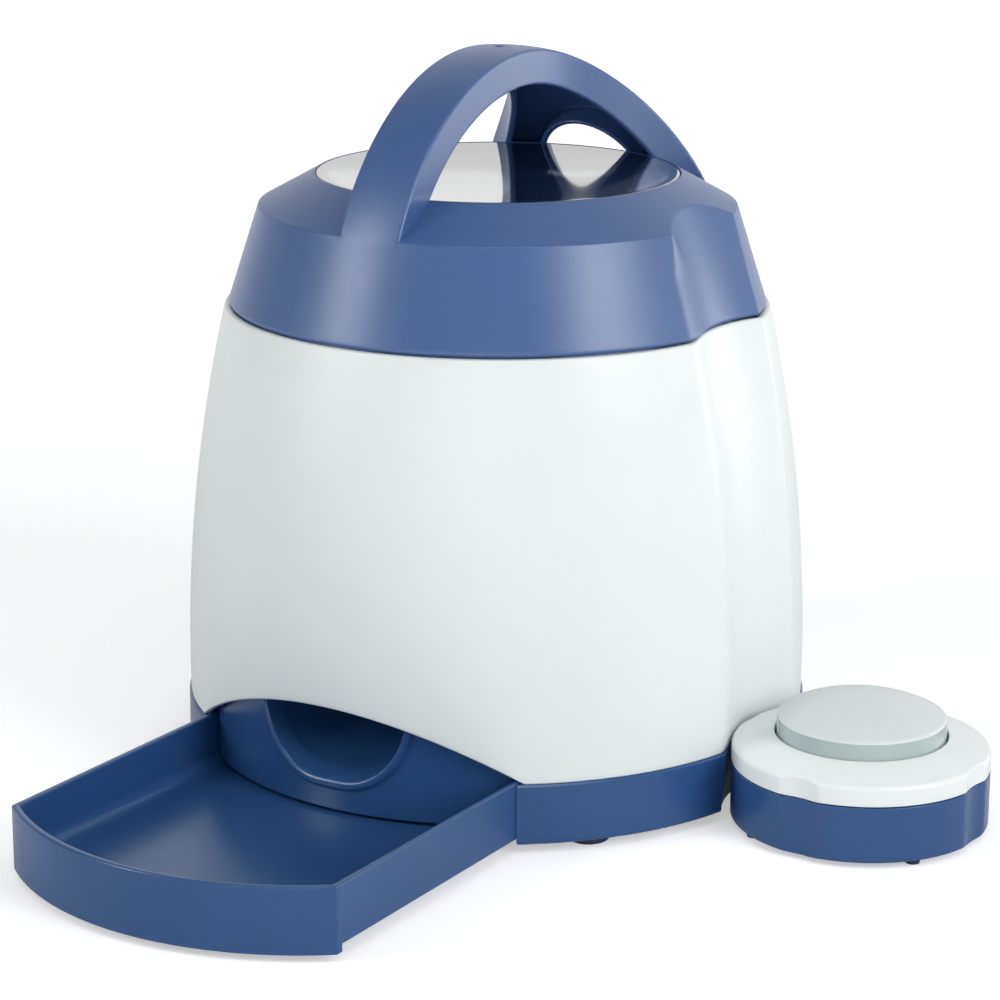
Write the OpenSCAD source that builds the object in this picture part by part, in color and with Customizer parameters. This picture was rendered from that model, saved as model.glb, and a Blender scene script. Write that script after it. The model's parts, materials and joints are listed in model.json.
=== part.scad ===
// Treat dispenser with a pull-out tray, and the wireless push button that sets it off.
// Millimetres, +Z up. The origin is on the floor under the dispenser's axis,
// the tray pulls out towards -Y and the button stands in the scoop on +X.

/* [Base] */
// Radius of the base ring
base_r = 109; // [108:0.1:116]
// Height of the feet under the base
foot_h = 3; // [2.5:0.5:5]
// Radius of a foot
foot_r = 7.3; // [5:0.1:8]
// Height of the base ring
base_h = 20.9; // [20:0.1:26]
// Wall of the base ring
base_wall = 3; // [2:0.1:4]
// Bevel of the base ring's upper edge
base_top_bevel = 0.6; // [0.5:0.1:1.5]
// Rounding of the base ring's lower edge
base_low_round = 1.8; // [1:0.1:2.4]
// Thickness of the base floor
base_floor = 2.5; // [2:0.1:3.5]

/* [Shell] */
// How far the base stands out beyond the shell's widest place
base_proud = 0.6; // [0.4:0.1:3]
// Height of the widest place
belly_z = 36.2; // [26:0.1:50]
// Radius of the shell's upright curve
belly_curve = 553; // [480:1:700]
// Height of the shell above the base
shell_h = 137.8; // [132:0.1:150]
// Wall of the shell
shell_wall = 2.5; // [1.8:0.1:3]
// Height of the arch's crown above the floor
arch_crown = 44.8; // [40:0.1:50]

/* [Scoops] */
// Depth of a scoop at its deepest place, from the belly
scoop_depth = 7.5; // [5:0.1:8]
// Radius of the scoop's cross-section
scoop_round = 55; // [50:0.5:70]
// Radius of the scoop's upright curve
scoop_curve = 418; // [400:1:480]
// Height of the scoop's deepest place
scoop_z = 49.3; // [40:0.1:60]

/* [Lid] */
// Height of the lid's wall, up to the shoulder
lid_wall_h = 33.9; // [28:0.1:40]
// How far the shoulder lies within the lid's foot
lid_taper = 10.8; // [8:0.1:13]
// Rounding of the shoulder
shoulder_round = 2.2; // [1:0.1:2.4]
// Height from the shoulder up to the window
lid_slope_h = 10.9; // [8:0.1:14]
// Width of the sloping top between the shoulder and the window
lid_rim = 19.7; // [17:0.1:25]
// Thickness of the window pane
pane_t = 2; // [1.5:0.1:3]
// Wall of the lid
lid_wall = 2.5; // [2:0.1:3]
// Height that the lid's spigot reaches into the shell
spigot_h = 4.5; // [3:0.1:5]

/* [Handle] */
// Height of the handle above the window
handle_h = 42.4; // [38:0.1:46]
// Thickness of the handle at its top
handle_t = 12; // [10:0.1:13]
// Width of the handle at its middle
handle_w = 23; // [20:0.5:30]
// Radius of the flare towards the rear
flare_r = 66.7; // [55:0.1:80]
// Where the flare starts, measured rearwards from the axis
flare_y = 9.7; // [0:0.1:15]
// Thickness of the handle's skin
handle_skin = 2.5; // [2:0.1:3.5]
// Thickness of the handle's side flanges
flange_t = 2.2; // [1.8:0.1:3]
// Thickness of a rib under the handle
rib_t = 1.8; // [1.2:0.1:2.5]
// Distance from rib to rib
rib_pitch = 9; // [7:0.5:14]
// Height of the rear opening above the window
rear_hole_h = 9.8; // [8:0.1:12]
// Half width of the rear opening at the window
rear_hole_half = 14.4; // [12:0.1:17]

/* [Tray] */
// Width of the tray
tray_w = 125.6; // [116:0.1:128]
// How much less than the base's radius the tray pulls out
tray_stop = 6; // [4:0.5:20]
// Radius of the tray's curved front
tray_front_r = 100; // [90:0.5:125]
// Height of the tray's walls
tray_h = 19.6; // [16:0.1:20]
// Wall of the tray
tray_wall = 2.5; // [1.8:0.1:3]
// Floor of the tray
tray_floor = 2; // [1.5:0.1:2.5]
// How far the front wall reaches below the tray's floor
front_drop = 2.6; // [1:0.1:3]
// Length of the tray that stays in the base
tray_tail = 41; // [36:0.5:46]

/* [Chute] */
// How far the wall behind the arch lies within the shell's widest place
chute_set_back = 4.4; // [4.2:0.1:8]
// Thickness of that wall
chute_wall_t = 2.2; // [1.8:0.1:3]
// Rounding of the mouth's two lower and upper corners
mouth_r = 22.8; // [21:0.1:25]
// Width of the flat between the corners
mouth_flat = 10; // [6:0.1:12]
// Height of the mouth's axis where it leaves the wall
mouth_z = 43; // [42:0.1:47]
// Slope of the mouth in degrees
mouth_tilt = 18; // [15:1:22]
// How far the collar round the mouth stands proud
collar_h = 1.2; // [0.8:0.1:1.5]
// Wall of the duct behind the mouth
duct_wall = 2; // [1.5:0.1:2.5]

/* [Dosing] */
// How far the hopper's inside lies within the shell's widest place
hopper_inset = 31.4; // [30:0.1:33]
// Wall of the hopper
hopper_wall = 2; // [1.5:0.1:2.5]
// Height of the hopper's floor above the ground
hopper_z = 94; // [92:0.5:97]
// Thickness of the hopper's floor
hopper_floor = 3; // [2:0.1:4]
// Height of the dosing wheel
wheel_h = 14.5; // [12:0.1:18]
// Number of paddles on the dosing wheel
paddle_n = 8; // [6:1:8]
// Thickness of a paddle
paddle_t = 4; // [3:0.1:6]
// Length of a paddle
paddle_l = 39.5; // [36:0.5:42]
// Radius of the outlet under the wheel
outlet_r = 15.5; // [12:0.1:16]
// Distance from the outlet to the hopper's wall
outlet_rim = 5.5; // [4.5:0.1:7]
// Radius of the drive shaft
shaft_r = 4; // [3:0.1:5]
// Gear module
gear_module = 1.25; // [1:0.05:1.3]
// Teeth of the wheel's gear
gear_teeth = 40; // [36:4:40]
// Teeth of the motor's pinion
pinion_teeth = 16; // [14:2:18]
// Width of the gear teeth
gear_w = 7; // [5:0.1:9]

/* [Power] */
// Radius of a dispenser cell
cell_r = 7.1; // [7:0.05:7.25]
// Length of a dispenser cell
cell_l = 50; // [48:0.1:50.5]
// Radius of a button cell
small_cell_r = 5.2; // [5:0.05:5.25]
// Length of a button cell
small_cell_l = 44; // [42:0.1:44.5]
// Travel of the power switch
switch_travel = 4; // [3:0.1:5]

/* [Button] */
// Radius of the button unit
button_r = 43; // [40:0.1:46]
// Height of the button's feet
button_foot_h = 1.8; // [1.5:0.1:3]
// Height of the blue cup
cup_h = 19.2; // [18:0.1:22]
// Height of the white ring's upright edge
ring_edge_h = 6.6; // [4:0.1:8]
// Height of the ring's sloping top
ring_slope_h = 4.1; // [3:0.1:6]
// Wall of the button's cup and ring
button_wall = 2.2; // [1.8:0.1:2.6]
// Radius of the pressed cap
cap_r = 28.3; // [26:0.1:29]
// Height of the cap's clear side above the ring
cap_side_h = 6; // [3:0.1:7]
// Crown of the cap
cap_crown = 6; // [3:0.1:7]
// Wall of the cap
cap_wall = 1.8; // [1.4:0.1:2.2]
// Travel of the cap
cap_travel = 3; // [2:0.1:3]
// Depth of the four scoops in the button's side
grip_depth = 1.7; // [0.8:0.1:1.8]
// Half width of those scoops
grip_half = 8.3; // [6:0.1:10]

/* [Hidden] */
$fn = 120;
// clearances
joint_gap = 0.3;
slide_gap = 0.3;
run_gap = 0.05;
seat_gap = 0.1;
dock_gap = 0.8;
over = 1;

// heights of the dispenser
base_top = foot_h + base_h;
shell_top = base_top + shell_h;
lid_z = shell_top + joint_gap;
shoulder_z = lid_z + lid_wall_h;
window_z = shoulder_z + lid_slope_h;
belly_r = base_r - base_proud;
belly_x = belly_r - belly_curve;
function shell_r_at(z) = belly_x + sqrt(pow(belly_curve, 2) - pow(z - belly_z, 2));
lid_step = 1;
lid_r = shell_r_at(lid_z) - lid_step;
shoulder_r = lid_r - lid_taper;
window_r = shoulder_r - lid_rim;
ledge_z = shell_top - 10;
ledge_t = 2.5;

// scoops
scoop_floor_x = belly_r - scoop_depth;
scoop_x = scoop_floor_x - scoop_curve;
function scoop_floor_at(z) = scoop_x + sqrt(pow(scoop_curve, 2) - pow(z - scoop_z, 2));

// handle: a slice of a dome that spans from the shoulder to the window's rim
shoulder_proud = 0.15;
rim_land = 0.6;
function bow_r(half, rise) = (pow(half, 2) + pow(rise, 2)) / (2 * rise);
handle_top_z = window_z + handle_h;
handle_r = bow_r(shoulder_r + shoulder_proud, handle_top_z - shoulder_z);
handle_z = handle_top_z - handle_r;
handle_in_r = bow_r(window_r + rim_land, handle_h - handle_t);
handle_in_z = handle_top_z - handle_t - handle_in_r;
rear_hole_r = bow_r(rear_hole_half, rear_hole_h);
rear_hole_y = window_r - 4;
rear_hole_start = rear_hole_y - 24;
rear_hole_spread = 0.5;
rib_lift = 0.6;
rib_front = -6;
rib_rear = 3;

// tray, drawn pulled out
tray_half = tray_w / 2;
tray_travel = base_r - tray_stop;
tray_z = foot_h + 2;
tray_top = tray_z + tray_h;
front_proud = 0.6;
tray_front_y = -base_r - front_proud - tray_travel;
tray_arc_y = tray_front_y + tray_front_r;
tray_corner_y = tray_arc_y - sqrt(pow(tray_front_r, 2) - pow(tray_half, 2));
tray_rear_y = -base_r + tray_tail + 6;
bay_half = tray_half + slide_gap;
bay_wall = 2.5;
bay_back_y = tray_rear_y + tray_travel + 2;
bay_top = tray_top + 1.2;
bay_roof_t = 1.4;
ledge_front_y = tray_corner_y + tray_travel + tray_wall + 4;
arch_half = bay_half + joint_gap;
arch_rise = arch_crown - tray_top - joint_gap;
arch_r = (pow(arch_half, 2) + pow(arch_rise, 2)) / (2 * arch_rise);

// chute
chute_wall_r = belly_r - chute_set_back;
chute_half = tray_half - tray_wall - 0.8;
chute_low_z = tray_z + tray_floor + 1;
chute_top_z = mouth_z + mouth_r + 6;
chute_in_r = chute_wall_r - chute_wall_t;
ear_t = 2.5;
ear_reach = 8;
ear_lap = 6;
ear_half = bay_half + bay_wall + ear_reach;
mouth_reach = 30;
collar_w = 2.4;
collar_top_z = arch_crown + 8;
hopper_r = belly_r - hopper_inset;
outlet_place_r = hopper_r - outlet_rim - outlet_r;
bowl_y = -outlet_place_r - 7;
bowl_back = chute_wall_r + bowl_y;
bowl_z = mouth_z + bowl_back * tan(mouth_tilt);
bowl_over = 0.4;

// dosing
wheel_z = hopper_z + hopper_floor + 0.5;
wheel_r = hopper_r - 1.5;
wheel_top = wheel_z + wheel_h;
hub_r = wheel_r - paddle_l;
paddle_lift = 0.3;
cone_h = 16;
guard_t = 2.5;
guard_z = wheel_top + 0.6;
guard_half_angle = 24;
bracket_t = 3;
bracket_z = hopper_z - 19;
gear_z = bracket_z + bracket_t + 2;
gear_axis_y = gear_module * (gear_teeth + pinion_teeth) / 2;
gear_r = gear_module * gear_teeth / 2;
pinion_r = gear_module * pinion_teeth / 2;
backlash = 0.3;
pillar_r = 4;
pillar_x = gear_r + gear_module + pillar_r + 0.8;
pillar_y = gear_axis_y + pinion_r;
bracket_half = pillar_x + pillar_r + 2;
bracket_front = -8;
motor_r = 13.5;
motor_h = 33;
motor_shaft_r = 1.5;
motor_boss_r = 3.5;
motor_boss_h = 1.5;

// cells, their bay under the base and its cover
cell_pitch = 2 * cell_r + 1.8;
cell_bay_half_x = cell_l + 6;
cell_bay_half_y = cell_pitch / 2 + cell_r + 0.9;
cell_bay_y = bay_back_y + bay_wall + 2 + cell_bay_half_y;
cover_t = 2;
cover_lap = 2;
cell_z = foot_h + cover_t + 0.3 + cell_r;
cell_bay_top = cell_z + cell_r + 0.5;
roof_t = 1.8;
cell_start_x = 2.5;
contact_t = 0.5;
board_t = 1.6;
post_h = 7;
board_w = 90;
board_l = 34;
board_z = cell_bay_top + roof_t + post_h;
post_r = 3;
switch_x = bay_half + bay_wall + 14;
switch_y = 14;
switch_w = 8;
switch_l = 18;
switch_h = 7;
knob_w = 4.6;
knob_l = 4;
knob_gap = 0.4;

// fixings
screw_r = 1.5;
head_r = 3.2;
head_h = 2;
boss_r = 5.5;
boss_h = 6;
boss_web = 3;
base_screw_l = 15;
boss_angles = [30, 150, 210, 330];
boss_place_r = base_r - base_wall - boss_r - 7;
stud_r = 4;
foot_place_r = base_r - base_wall - foot_r - 0.7;
foot_angles = [40, 140, 220, 320];

// button unit
button_x = scoop_floor_at(button_foot_h + cup_h + ring_edge_h) + dock_gap + button_r;
cup_top = button_foot_h + cup_h;
ring_z = cup_top + joint_gap;
ring_edge_z = ring_z + ring_edge_h;
ring_hole_r = cap_r + 0.5;
ring_top_z = ring_edge_z + ring_slope_h;
ring_round = 1.8;
grip_r = (pow(grip_half, 2) + pow(grip_depth, 2)) / (2 * grip_depth);
small_pitch = 2 * small_cell_r + 0.8;
small_bay_half_x = 1.5 * small_pitch + 0.4;
small_bay_half_y = small_cell_l / 2 + 3.5;
small_cover_t = 1.8;
small_cell_z = button_foot_h + small_cover_t + 0.2 + small_cell_r;
small_bay_top = small_cell_z + small_cell_r + 0.3;
small_roof_t = 1.4;
small_lap = 1.4;
small_tab_r = 3.2;
small_tab_h = 9.5;
small_screw_r = 0.9;
small_head_r = 2;
small_head_h = 0.9;
button_board_z = small_bay_top + small_roof_t;
button_board_r = 30;
ring_under_z = ring_top_z - (cap_r + 3 - ring_hole_r) * ring_slope_h / (button_r - ring_hole_r)
    - button_wall * 1.1;
cap_flange_r = cap_r + 2.7;
cap_flange_t = 1.4;
cap_low_z = ring_under_z - 0.4 - cap_flange_t;
cap_edge_z = ring_top_z + cap_side_h;
cap_top_z = cap_edge_z + cap_crown;
cap_sphere_r = (pow(cap_r, 2) + pow(cap_crown, 2)) / (2 * cap_crown);
carrier_t = 1.8;
carrier_z = cap_low_z + 1;
push_body = 6;
push_body_h = 2;
push_stem_r = 1.7;
push_stem_h = 1;
plunger_r = 3.2;
plunger_low_z = button_board_z + board_t + push_body_h + push_stem_h + cap_travel + joint_gap;
spring_r = 8;
spring_wire_r = 0.5;
spring_turns = 4;
button_screw_place_r = button_r - button_wall - 5.8;
button_screw_angles = [22, 112, 202, 292];
button_stud_r = 3.2;
button_boss_h = 5;
button_screw_l = 10;
button_head_h = 1.6;
button_foot_r = 2.4;
button_foot_place_r = button_r - 4.5;
button_foot_angles = [55, 145, 235, 325];
button_y = -1.6;
button_turn = -2.5;

// colours
blue = [0.19, 0.31, 0.55];
deep_blue = [0.13, 0.25, 0.46];
pale = [0.89, 0.92, 0.91];
milk = [0.93, 0.94, 0.95];
steel = [0.72, 0.73, 0.75];
dark = [0.12, 0.13, 0.15];
board_green = [0.10, 0.35, 0.22];

// a corner of an outline, moved inwards by d from both of its sides
function unit(v) = v / norm(v);
function inward(a, b) = let(d = unit(b - a)) [-d[1], d[0]];
function inset_corner(a, b, c, d) = let(n = inward(a, b), m = inward(b, c)) b + d * (n + m) / (1 + n * m);

// a box from its two opposite corners
module box(low, high) {
    translate(low) cube(high - low);
}

// the same shape on both sides of the tray's middle plane
module both_sides() {
    children();
    mirror([1, 0, 0]) children();
}

// copies round the Z axis, each turned to its own angle
module round_z(angles, r) {
    for (a = angles) rotate([0, 0, a]) translate([r, 0, 0]) children();
}

// copies of a shape at a radius, without turning it
module at_polar(angles, r) {
    for (a = angles) translate([r * cos(a), r * sin(a), 0]) children();
}

// the two scoops in the sides, with their walls set back by inset
module scoops(inset) {
    both_sides() translate([scoop_x, 0, scoop_z]) rotate([90, 0, 0])
        rotate_extrude() translate([scoop_curve + scoop_round, 0]) circle(r = scoop_round + inset);
}

// the barrel form of the shell between two heights, with its wall set back by inset
module shell_form(inset, low, high) {
    difference() {
        rotate_extrude() intersection() {
            translate([belly_x, belly_z]) circle(r = belly_curve - inset, $fn = 360);
            translate([0, low]) square([2 * base_r, high - low]);
        }
        scoops(inset);
    }
}

// the round form of the base between two heights
module base_form(inset, low, high) {
    difference() {
        translate([0, 0, low]) cylinder(r = base_r - inset, h = high - low);
        scoops(inset);
    }
}

// the base's outside, with its lower edge rounded and its upper one bevelled
module base_body() {
    difference() {
        translate([0, 0, foot_h]) rotate_extrude() {
            square([base_r - base_low_round, base_h]);
            translate([0, base_low_round]) square([base_r - base_top_bevel, base_h - base_low_round]);
            translate([0, base_low_round]) square([base_r, base_h - base_low_round - base_top_bevel]);
            translate([base_r - base_low_round, base_low_round]) circle(r = base_low_round);
            polygon([[base_r - base_top_bevel, base_h - base_top_bevel - over],
                [base_r, base_h - base_top_bevel - over], [base_r, base_h - base_top_bevel],
                [base_r - base_top_bevel, base_h]]);
        }
        scoops(0);
    }
}

// the space that the tray slides in, open to the front
module tray_way(low, high, half) {
    box([-half, -base_r - 2 * over, low], [half, bay_back_y, high]);
}

// the walls of the tray's bay
module bay_walls() {
    intersection() {
        difference() {
            box([-bay_half - bay_wall, -base_r, foot_h],
                [bay_half + bay_wall, bay_back_y + bay_wall, bay_top]);
            tray_way(foot_h - over, bay_top + over, bay_half);
        }
        union() {
            base_form(base_wall / 2, foot_h, base_top);
            shell_form(shell_wall + joint_gap, base_top - over, bay_top);
        }
    }
}

// block round the cells, hollow from below, with a recess for the cover
module cell_bay_block() {
    lap = cover_lap + 2;
    difference() {
        intersection() {
            box([-cell_bay_half_x - lap, cell_bay_y - cell_bay_half_y - lap, foot_h],
                [cell_bay_half_x + lap, cell_bay_y + cell_bay_half_y + lap, cell_bay_top + roof_t]);
            base_form(base_wall / 2, foot_h, base_top);
        }
        cell_bay_hollow();
    }
    translate([0, cell_bay_y, foot_h + cover_t]) difference() {
        cylinder(r = cell_start_x - 0.1, h = cell_bay_top - foot_h - cover_t + over);
        translate([0, 0, -over]) cylinder(r = screw_r - 0.4, h = 12 + over);
    }
}

module cell_bay_hollow() {
    box([-cell_bay_half_x, cell_bay_y - cell_bay_half_y, foot_h - over],
        [cell_bay_half_x, cell_bay_y + cell_bay_half_y, cell_bay_top]);
    cover_plate(cover_lap, over);
}

// plate that closes the cell bay, larger than the bay by lap
module cover_plate(lap, below) {
    intersection() {
        box([-cell_bay_half_x - lap, cell_bay_y - cell_bay_half_y - lap, foot_h - below],
            [cell_bay_half_x + lap, cell_bay_y + cell_bay_half_y + lap, foot_h + cover_t]);
        base_form(base_wall - lap + cover_lap, foot_h - below, foot_h + cover_t);
    }
}

module board_posts() {
    both_sides() for (s = [-1, 1])
        translate([board_w / 2 - 6, cell_bay_y + s * (board_l / 2 - 5), cell_bay_top + roof_t - over])
            cylinder(r = post_r, h = post_h + over);
}

module base_pan() {
    shelf_t = 2;
    lip_h = 4;
    lip_t = 2;
    color(deep_blue) difference() {
        union() {
            difference() {
                base_body();
                base_form(base_wall, foot_h + base_floor, base_top - shelf_t);
                shell_form(shell_wall + joint_gap + lip_t, base_top - shelf_t - over, base_top + over);
            }
            difference() {
                shell_form(shell_wall + joint_gap, base_top - shelf_t, base_top + lip_h);
                shell_form(shell_wall + joint_gap + lip_t, base_top - shelf_t - over, base_top + lip_h + over);
                tray_way(foot_h, base_top + lip_h + over, bay_half + bay_wall);
            }
            bay_walls();
            cell_bay_block();
            board_posts();
            at_polar(boss_angles, boss_place_r) translate([0, 0, foot_h])
                cylinder(r = boss_r, h = base_floor + boss_h);
        }
        tray_way(foot_h + 2 - slide_gap, bay_top + over, bay_half);
        box([-bay_half, -base_r - over, foot_h - over], [bay_half, ledge_front_y, base_top]);
        cell_bay_hollow_from_floor();
        translate([0, cell_bay_y, foot_h]) cylinder(r = screw_r - 0.4, h = cover_t + base_floor);
        at_polar(boss_angles, boss_place_r) {
            translate([0, 0, foot_h - over])
                cylinder(r = head_r + 0.3, h = over + base_floor + boss_h - boss_web);
            translate([0, 0, foot_h]) cylinder(r = screw_r + 0.2, h = base_floor + boss_h + over);
        }
        knob_way(foot_h - over, foot_h + base_floor + over);
    }
}

// the part of the cell bay's hollow that lies in the base's own floor
module cell_bay_hollow_from_floor() {
    difference() {
        intersection() {
            cell_bay_hollow();
            box([-base_r, 0, foot_h - over], [base_r, base_r, foot_h + base_floor]);
        }
        translate([0, cell_bay_y, foot_h + cover_t]) cylinder(r = cell_start_x - 0.1, h = base_floor);
    }
}

// plate over the tray's bay that keeps crumbs away from the works
module bay_roof() {
    front_y = bowl_y + 12;
    color(milk) box([-bay_half - bay_wall, front_y, bay_top],
        [bay_half + bay_wall, bay_back_y + bay_wall, bay_top + bay_roof_t]);
}

module rubber_feet() {
    foot_round = 1.2;
    color(dark) at_polar(foot_angles, foot_place_r) rotate_extrude() {
        square([foot_r - foot_round, foot_h]);
        translate([0, foot_round]) square([foot_r, foot_h - foot_round]);
        translate([foot_r - foot_round, foot_round]) circle(r = foot_round);
    }
}

module body_shell() {
    stud_low = foot_h + base_floor + boss_h;
    stud_h = 44;
    rib_low = base_top + 6;
    color(pale) difference() {
        union() {
            difference() {
                shell_form(0, base_top, shell_top);
                shell_form(shell_wall, base_top - over, shell_top + over);
            }
            difference() {
                shell_form(shell_wall / 2, ledge_z - ledge_t, ledge_z);
                translate([0, 0, ledge_z - ledge_t - over])
                    cylinder(r = hopper_r + hopper_wall + 0.6, h = ledge_t + 2 * over);
            }
            at_polar(boss_angles, boss_place_r) translate([0, 0, stud_low]) cylinder(r = stud_r, h = stud_h);
            intersection() {
                round_z(boss_angles, boss_place_r)
                    box([0, -1, rib_low], [base_r - boss_place_r, 1, stud_low + stud_h - 4]);
                shell_form(shell_wall / 2, rib_low - over, stud_low + stud_h);
            }
        }
        at_polar(boss_angles, boss_place_r) translate([0, 0, stud_low - over])
            cylinder(r = screw_r + seat_gap, h = 16);
        translate([0, 0, arch_crown - arch_r]) rotate([90, 0, 0]) cylinder(r = arch_r, h = base_r + over);
    }
}

// pan-head screw, head down at z = 0 with its shank upwards
module screw(r, head, head_height, length) {
    cylinder(r = head, h = head_height);
    cylinder(r = r, h = head_height + length);
}

module base_screws() {
    color(steel) at_polar(boss_angles, boss_place_r)
        translate([0, 0, foot_h + base_floor + boss_h - boss_web - head_h])
            screw(screw_r, head_r, head_h, base_screw_l);
}

// outline of the lid's outside, with a rounded shoulder
module lid_outline() {
    foot = [lid_r, lid_z];
    edge = [shoulder_r, shoulder_z];
    rim = [window_r, window_z];
    centre = inset_corner(foot, edge, rim, shoulder_round);
    polygon([[0, lid_z], foot, centre - shoulder_round * inward(foot, edge),
        centre - shoulder_round * inward(edge, rim), rim, [0, window_z]]);
    translate(centre) circle(r = shoulder_round);
}

// outline of the lid's inside, a wall's thickness within
module lid_inner_outline() {
    foot = [lid_r, lid_z];
    edge = [shoulder_r, shoulder_z];
    rim = [window_r, window_z];
    inner = inset_corner(foot, edge, rim, lid_wall);
    side = inward(foot, edge);
    low = [lid_r - lid_wall / -side[0], lid_z];
    seat_z = window_z - pane_t - lid_wall;
    slope = inward(edge, rim);
    seat_r = inner[0] - (seat_z - inner[1]) * slope[1] / slope[0];
    polygon([[0, lid_z - over], [low[0], lid_z - over], low, inner, [seat_r, seat_z], [0, seat_z]]);
}

// the handle seen from above: a straight strap that flares to the rear
module handle_plan(inset) {
    half = handle_w / 2;
    translate([-half + inset, -handle_r]) square([2 * (half - inset), handle_r + flare_y + over]);
    difference() {
        translate([-handle_r, flare_y]) square([2 * handle_r, handle_r]);
        for (s = [-1, 1]) translate([s * (half + flare_r), flare_y]) circle(r = flare_r + inset);
    }
}

// the ball that forms the handle's outside, with its surface set back by inset
module handle_ball(inset) {
    translate([0, 0, handle_z]) sphere(r = handle_r - inset);
}

// the ball that forms the handle's underside, larger by grow
module handle_room(grow) {
    translate([0, 0, handle_in_z]) sphere(r = handle_in_r + grow);
}

// the opening between the handle's two rear legs, which widens to the rear
module rear_hole(grow) {
    before = rear_hole_y - rear_hole_start;
    r = rear_hole_r + grow;
    translate([0, rear_hole_start, window_z + rear_hole_h - rear_hole_r]) rotate([-90, 0, 0])
        cylinder(r1 = r - rear_hole_spread * before, r2 = r + rear_hole_spread * (handle_r - before), h = handle_r);
}

// cross ribs under the handle
module handle_ribs() {
    difference() {
        for (k = [rib_front:rib_rear]) translate([-handle_r, k * rib_pitch - rib_t / 2, shoulder_z])
            cube([2 * handle_r, rib_t, handle_r]);
        handle_room(rib_lift);
    }
}

module handle_hollow() {
    difference() {
        intersection() {
            handle_ball(handle_skin);
            translate([0, 0, shoulder_z - lid_wall]) linear_extrude(height = handle_r) handle_plan(flange_t);
        }
        handle_ribs();
        rear_hole(flange_t);
    }
}

module handle() {
    difference() {
        intersection() {
            handle_ball(0);
            translate([0, 0, shoulder_z - lid_wall]) linear_extrude(height = handle_r) handle_plan(0);
        }
        handle_room(0);
        handle_hollow();
        rear_hole(0);
    }
}

// the hollow of the lid
module lid_hollow() {
    difference() {
        rotate_extrude() lid_inner_outline();
        scoops(lid_wall);
    }
}

// the lid's wall, sloping top and seat for the pane
module lid_cover() {
    seat_w = 4;
    difference() {
        rotate_extrude() lid_outline();
        scoops(0);
        lid_hollow();
        translate([0, 0, window_z - pane_t]) cylinder(r = window_r, h = pane_t + over);
        translate([0, 0, window_z - lid_wall - 2 * pane_t])
            cylinder(r = window_r - seat_w, h = lid_wall + 3 * pane_t);
    }
}

// the two arcs under the lid that reach into the shell, in front of and behind the scoops
module lid_spigot() {
    gap = 0.5;
    wall = 2;
    scoop_clear = 9;
    r = shell_r_at(lid_z) - shell_wall - gap;
    low = lid_z - spigot_h;
    height = spigot_h + 1.5;
    difference() {
        translate([0, 0, low]) cylinder(r = r, h = height);
        translate([0, 0, low - over]) cylinder(r = r - wall, h = height + 2 * over);
        scoops(scoop_clear);
    }
}

module lid() {
    color(blue) {
        lid_cover();
        difference() {
            handle();
            lid_hollow();
        }
        lid_spigot();
    }
}

module window_pane() {
    color([0.85, 0.9, 0.92, 0.4]) translate([0, 0, window_z - pane_t])
        cylinder(r = window_r - 0.15, h = pane_t - 0.2);
}

// outline of the tray in plan, set in by inset on the sides and the curved front
module tray_plan(inset, rear_y) {
    intersection() {
        translate([0, tray_arc_y]) circle(r = tray_front_r - inset);
        translate([-tray_half + inset, tray_front_y]) square([tray_w - 2 * inset, tray_front_r - 1]);
    }
    translate([-tray_half + inset, tray_arc_y - 2]) square([tray_w - 2 * inset, rear_y - tray_arc_y + 2]);
}

module tray() {
    color(deep_blue) {
        difference() {
            translate([0, 0, tray_z]) linear_extrude(height = tray_h) tray_plan(0, tray_rear_y);
            translate([0, 0, tray_z + tray_floor]) linear_extrude(height = tray_h)
                tray_plan(tray_wall, tray_rear_y - tray_wall);
        }
        translate([0, 0, tray_z - front_drop]) linear_extrude(height = front_drop + tray_floor) difference() {
            tray_plan(0, tray_rear_y);
            translate([0, tray_arc_y]) circle(r = tray_front_r - tray_wall);
            translate([-tray_w, tray_corner_y + tray_wall]) square([2 * tray_w, tray_w + tray_front_r]);
        }
    }
}

// the mouth's opening, larger by grow
module mouth_plan(grow) {
    r = mouth_r + grow;
    for (s = [-1, 1]) translate([s * mouth_flat / 2, 0]) circle(r = r);
    translate([-mouth_flat / 2, -r]) square([mouth_flat, 2 * r]);
}

// a bar along the mouth's sloping axis, from behind the wall to in front of it
module mouth_bar(grow, back, front) {
    translate([0, -chute_wall_r, mouth_z]) rotate([90 + mouth_tilt, 0, 0])
        translate([0, 0, -back / cos(mouth_tilt)])
            linear_extrude(height = (back + front) / cos(mouth_tilt)) mouth_plan(grow);
}

// the curved sheet behind the arch, between two radii
module chute_sheet(r_in, r_out, half, low, high) {
    intersection() {
        translate([0, 0, low]) difference() {
            cylinder(r = r_out, h = high - low);
            translate([0, 0, -over]) cylinder(r = r_in, h = high - low + 2 * over);
        }
        box([-half, -base_r, low - over], [half, 0, high + over]);
    }
}

module chute_wall() {
    ear_back = 16;
    ear_y = -sqrt(pow(chute_in_r, 2) - pow(chute_half, 2));
    color(deep_blue) difference() {
        union() {
            chute_sheet(chute_in_r, chute_wall_r, chute_half, chute_low_z, chute_top_z);
            intersection() {
                mouth_bar(collar_w, mouth_reach / 3, mouth_reach);
                chute_sheet(chute_in_r, chute_wall_r + collar_h, chute_half, chute_low_z, collar_top_z);
            }
            intersection() {
                both_sides() box([chute_half - ear_lap, ear_y - ear_reach, bay_top],
                    [ear_half, ear_y + ear_back, bay_top + ear_t]);
                translate([0, 0, bay_top - over])
                    cylinder(r = chute_wall_r - 0.7, h = ear_t + 2 * over);
            }
        }
        mouth_bar(0, bowl_back, mouth_reach);
    }
}

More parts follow.
